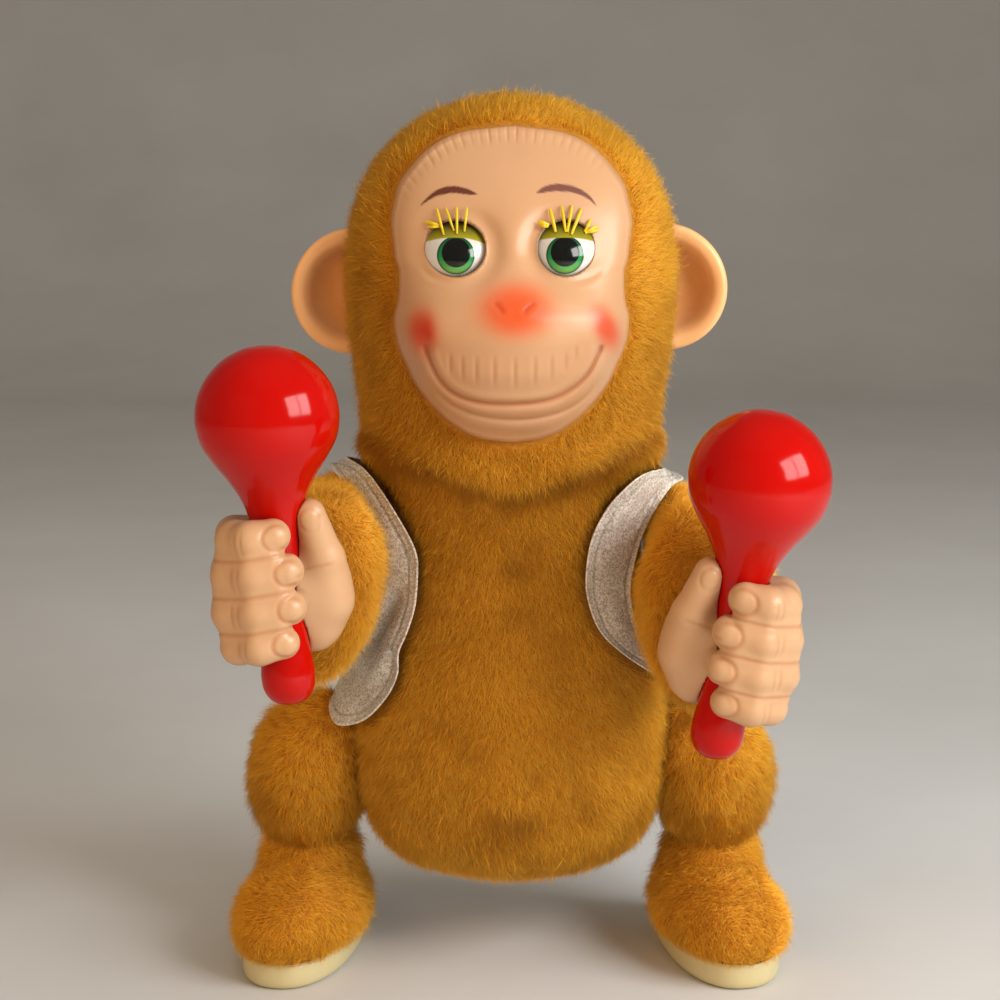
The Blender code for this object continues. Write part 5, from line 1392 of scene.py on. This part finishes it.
# ------------------------------------------------------------------------- legs
FOOT = (57.0, -7.5)
TOE = math.radians(12.0)
LEG_X = 56.0
for side, s in SIDES:
    c, q = math.cos(s * TOE), math.sin(s * TOE)
    spin = np.array([[c, -q, 0], [q, c, 0], [0, 0, 1.0]])
    foot_at = np.array([s * FOOT[0], FOOT[1], 0.0])
    ankle_at = np.array([s * LEG_X, 3.0, 0.0])

    # sole: a shallow pressed pan with a rolled lower edge
    loops = []
    for inset, z in [(13.0, 0.0), (6.0, 0.0), (2.2, 0.0), (1.0, 0.25), (0.35, 0.9), (0.0, 2.0), (0.0, 4.0), (0.05, 5.8), (0.25, 6.6),
                     (0.7, 7.0), (1.2, 6.8), (1.3, 5.0), (1.4, 1.4), (6.0, 1.2), (13.0, 1.2)]:
        t = np.arange(120) * 2 * math.pi / 120
        x = (14.4 - inset) * np.sign(np.cos(t)) * np.abs(np.cos(t)) ** 0.86
        y = (28.0 - inset) * np.sign(np.sin(t)) * np.abs(np.sin(t)) ** 0.86
        loops.append(np.stack([x, y, np.full(120, z)], 1))
    p = np.concatenate(loops)
    faces = [tuple(f) for f in quads_of(len(loops), 120)]
    faces.append(tuple(range(119, -1, -1)))
    faces.append(tuple(range((len(loops) - 1) * 120, len(loops) * 120)))
    sole = outward(mesh_object(side + "_sole_pan", p @ spin.T + foot_at, faces, CREAM))
    sole.data.set_sharp_from_angle(angle=math.radians(60))
    piece(sole, "toy_body", "cream_paint", side + "_sole")

    # boot
    def boot_field(g):
        local = (g - foot_at) @ spin
        f = ball(local, (0, -1.0, 12.5), (16.4, 28.6, 13.2))
        f = smooth_min(f, limb(g, ankle_at + np.array([0, 0, 14.0]), ankle_at + np.array([0, 0, 24.0]), 13.6, 13.2), 5.0)
        return np.maximum(f, 6.6 - g[..., 2])
    g, origin = grid_of((s * FOOT[0] - 24, -42, 4.0), (s * FOOT[0] + 24, 28, 40.0), 1.1)
    p, quads = surface_net(boot_field(g), origin, 1.1)
    boot = mesh_object(side + "_boot_cloth", p, quads, CLOTH)
    outward(boot)
    piece(boot, "toy_body", "golden_plush", side + "_boot")

    def boot_comb(r, n, foot_at=foot_at):
        d = r - np.array([foot_at[0], foot_at[1] + 10, 30.0])
        d[:, 2] *= 0.6
        return unit(d)

    def boot_keep(r, n):
        return (r[:, 2] > 7.2) & (n[:, 2] > -0.8) & (r[:, 2] < 33)

    furred(side + "_boot_pile", p, quads, boot_comb, "toy_body", boot_keep, seed=31 if s < 0 else 32, length=4.2, lean=54.0,
           floor=6.2, swirl_by=0.9, swirl_mm=6.0, ruffle=38.0)

    # thigh
    def thigh_field(g):
        f = ball(g, (s * LEG_X, 3.0, 48.0), (15.6, 18.2, 20.6))
        return smooth_min(f, ball(g, (s * 50.0, 4.0, 54.0), (13.0, 15.0, 16.6)), 3.0)
    g, origin = grid_of((s * LEG_X - 20, -20, 24.0), (s * LEG_X + 20, 26, 72.0), 1.1)
    p, quads = surface_net(thigh_field(g), origin, 1.1)
    thigh = mesh_object(side + "_thigh_cloth", p, quads, CLOTH)
    outward(thigh)
    piece(thigh, "toy_body", "golden_plush", side + "_thigh")

    def thigh_comb(r, n, s=s):
        d = np.tile(np.array([0.12 * s, 0.0, -1.0]), (len(r), 1))
        return d

    def thigh_keep(r, n):
        a = torso_at(r[:, 2]) - 1.5
        deep = (r[:, 0] / a) ** 2 + (r[:, 1] / (TORSO_DEPTH * a)) ** 2 < 1
        return ~deep

    furred(side + "_thigh_pile", p, quads, thigh_comb, "toy_body", thigh_keep, seed=41 if s < 0 else 42, length=5.0, lean=58.0,
           clump=4.2, pull=0.62)

# -------------------------------------------------------------------- winding key
def rounded_plate(q, half_thick, h, edge):
    """A flat plate of outline distance q and height h, with rounded edges."""
    d = np.stack([q + edge, np.abs(h) - half_thick + edge], -1)
    return np.minimum(d.max(-1), 0.0) + np.linalg.norm(np.maximum(d, 0.0), axis=-1) - edge


def key_field(p):
    x, y, h = p[..., 0], p[..., 1] - 55.0, p[..., 2] - 70.0
    lobes = np.minimum(np.hypot(x - 8.5, y), np.hypot(x + 8.5, y)) - 7.0
    waist = np.maximum(np.abs(x) - 8.0, np.abs(y) - 4.4)
    q = smooth_min(lobes, waist, 2.0)
    dish = 0.42 * steps(4.9 - np.minimum(np.hypot(x - 8.5, y), np.hypot(x + 8.5, y)), 0.0, 1.3)
    plate = rounded_plate(q, 0.80 - dish + 0.24 * gauss(q + 0.75, 0.55), h, 0.42)
    around = np.hypot(x, h)
    tube = np.maximum(around - 3.5, np.maximum(38.6 - p[..., 1], p[..., 1] - 51.4))
    roll = np.hypot(around - 3.25, p[..., 1] - 38.95) - 0.42
    tube = np.minimum(tube, roll)
    seam = np.maximum(np.abs(x) - 0.14, 3.1 - h)
    tube = np.maximum(tube, -seam)
    whole = smooth_min(plate, tube, 0.7)
    bore = np.maximum(around - 2.3, p[..., 1] - 48.0)
    return np.maximum(whole, -bore)


g, origin = grid_of((-16.5, 37.5, 65.0), (16.5, 63.0, 75.0), 0.28)
p, quads = surface_net(key_field(g), origin, 0.28)
key = outward(mesh_object("key_bow", p, quads, TIN))
piece(key, "arbor", "bare_tin", "winding_key")

# -------------------------------------------------------------------- inner works
FINISH = {"bare_tin": TIN, "steel": STEEL, "brass": BRASS, "spring_steel": SPRING, "head_core": CORE, "cream_paint": CREAM,
          "red_plastic": RED, "skin_vinyl": VINYL, "golden_plush": CLOTH, "silver_cloth": SILVER, "lash_plastic": YELLOW}
for row in frame["record"]["subparts"]:
    node = frame["nodes"].get(row["node"])
    if node is not None and not node.hide_render:
        node.data.materials.clear()
        node.data.materials.append(FINISH[row["material_slot"]])


# ------------------------------------------------------------------ floor, light
def floor_finish():
    m, t, b = material("pale_floor")
    t.links.new(ramp(t, noise_tex(t, 6.0, 4.0), [(0.3, (0.60, 0.605, 0.60)), (0.7, (0.66, 0.67, 0.67))]), b.inputs["Base Color"])
    t.links.new(ramp(t, noise_tex(t, 14.0, 4.0), [(0.3, grey(0.45)), (0.7, grey(0.6))]), b.inputs["Roughness"])
    b.inputs["Specular IOR Level"].default_value = 0.3
    return m


sweep = [(-2.5, 0.0), (1.2, 0.0)] + [(1.2 + 0.8 * math.sin(a), 0.8 - 0.8 * math.cos(a)) for a in np.linspace(0.08, math.pi / 2, 18)] \
    + [(2.0, 3.5)]
mesh = bpy.data.meshes.new("floor")
verts = [(x, y, z - 0.0002) for y, z in sweep for x in (-3.5, 3.5)]
mesh.from_pydata(verts, [], [(2 * i, 2 * i + 1, 2 * i + 3, 2 * i + 2) for i in range(len(sweep) - 1)])
mesh.shade_smooth()
mesh.materials.append(floor_finish())
floor = bpy.data.objects.new("floor", mesh)
SCENE.collection.objects.link(floor)


def area_light(name, where, target, size, watts, colour):
    d = bpy.data.lights.new(name, "AREA")
    d.shape = "RECTANGLE"
    d.size, d.size_y = size
    d.energy = watts
    d.color = colour
    o = bpy.data.objects.new(name, d)
    o.location = where
    o.rotation_euler = (Vector(target) - Vector(where)).to_track_quat("-Z", "Y").to_euler()
    SCENE.collection.objects.link(o)
    return o


for shift in (-0.155, 0.155):
    area_light("window_pane", (0.64 + 0.567 * shift, -0.44 + 0.824 * shift, 0.46), (0.567 * shift, 0.824 * shift, 0.13), (0.285, 0.42), 4.4,
               (1.0, 0.985, 0.96))
overhead = area_light("overhead", (0.05, -0.10, 0.95), (0, 0, 0.1), (0.8, 0.8), 2.4, (1.0, 0.94, 0.86))
fill = area_light("fill", (-0.62, -0.78, 0.36), (0, 0, 0.12), (0.9, 0.9), 4.8, (1.0, 0.62, 0.29))
bounce = area_light("bounce", (0.22, -0.50, 0.02), (0, 0, 0.065), (0.60, 0.22), 1.1, (1.0, 0.86, 0.66))
overhead.visible_glossy = fill.visible_glossy = bounce.visible_glossy = False
world = bpy.data.worlds.new("world")
world.use_nodes = True
world.node_tree.nodes["Background"].inputs[0].default_value = (0.90, 0.78, 0.64, 1.0)
world.node_tree.nodes["Background"].inputs[1].default_value = 0.22
SCENE.world = world
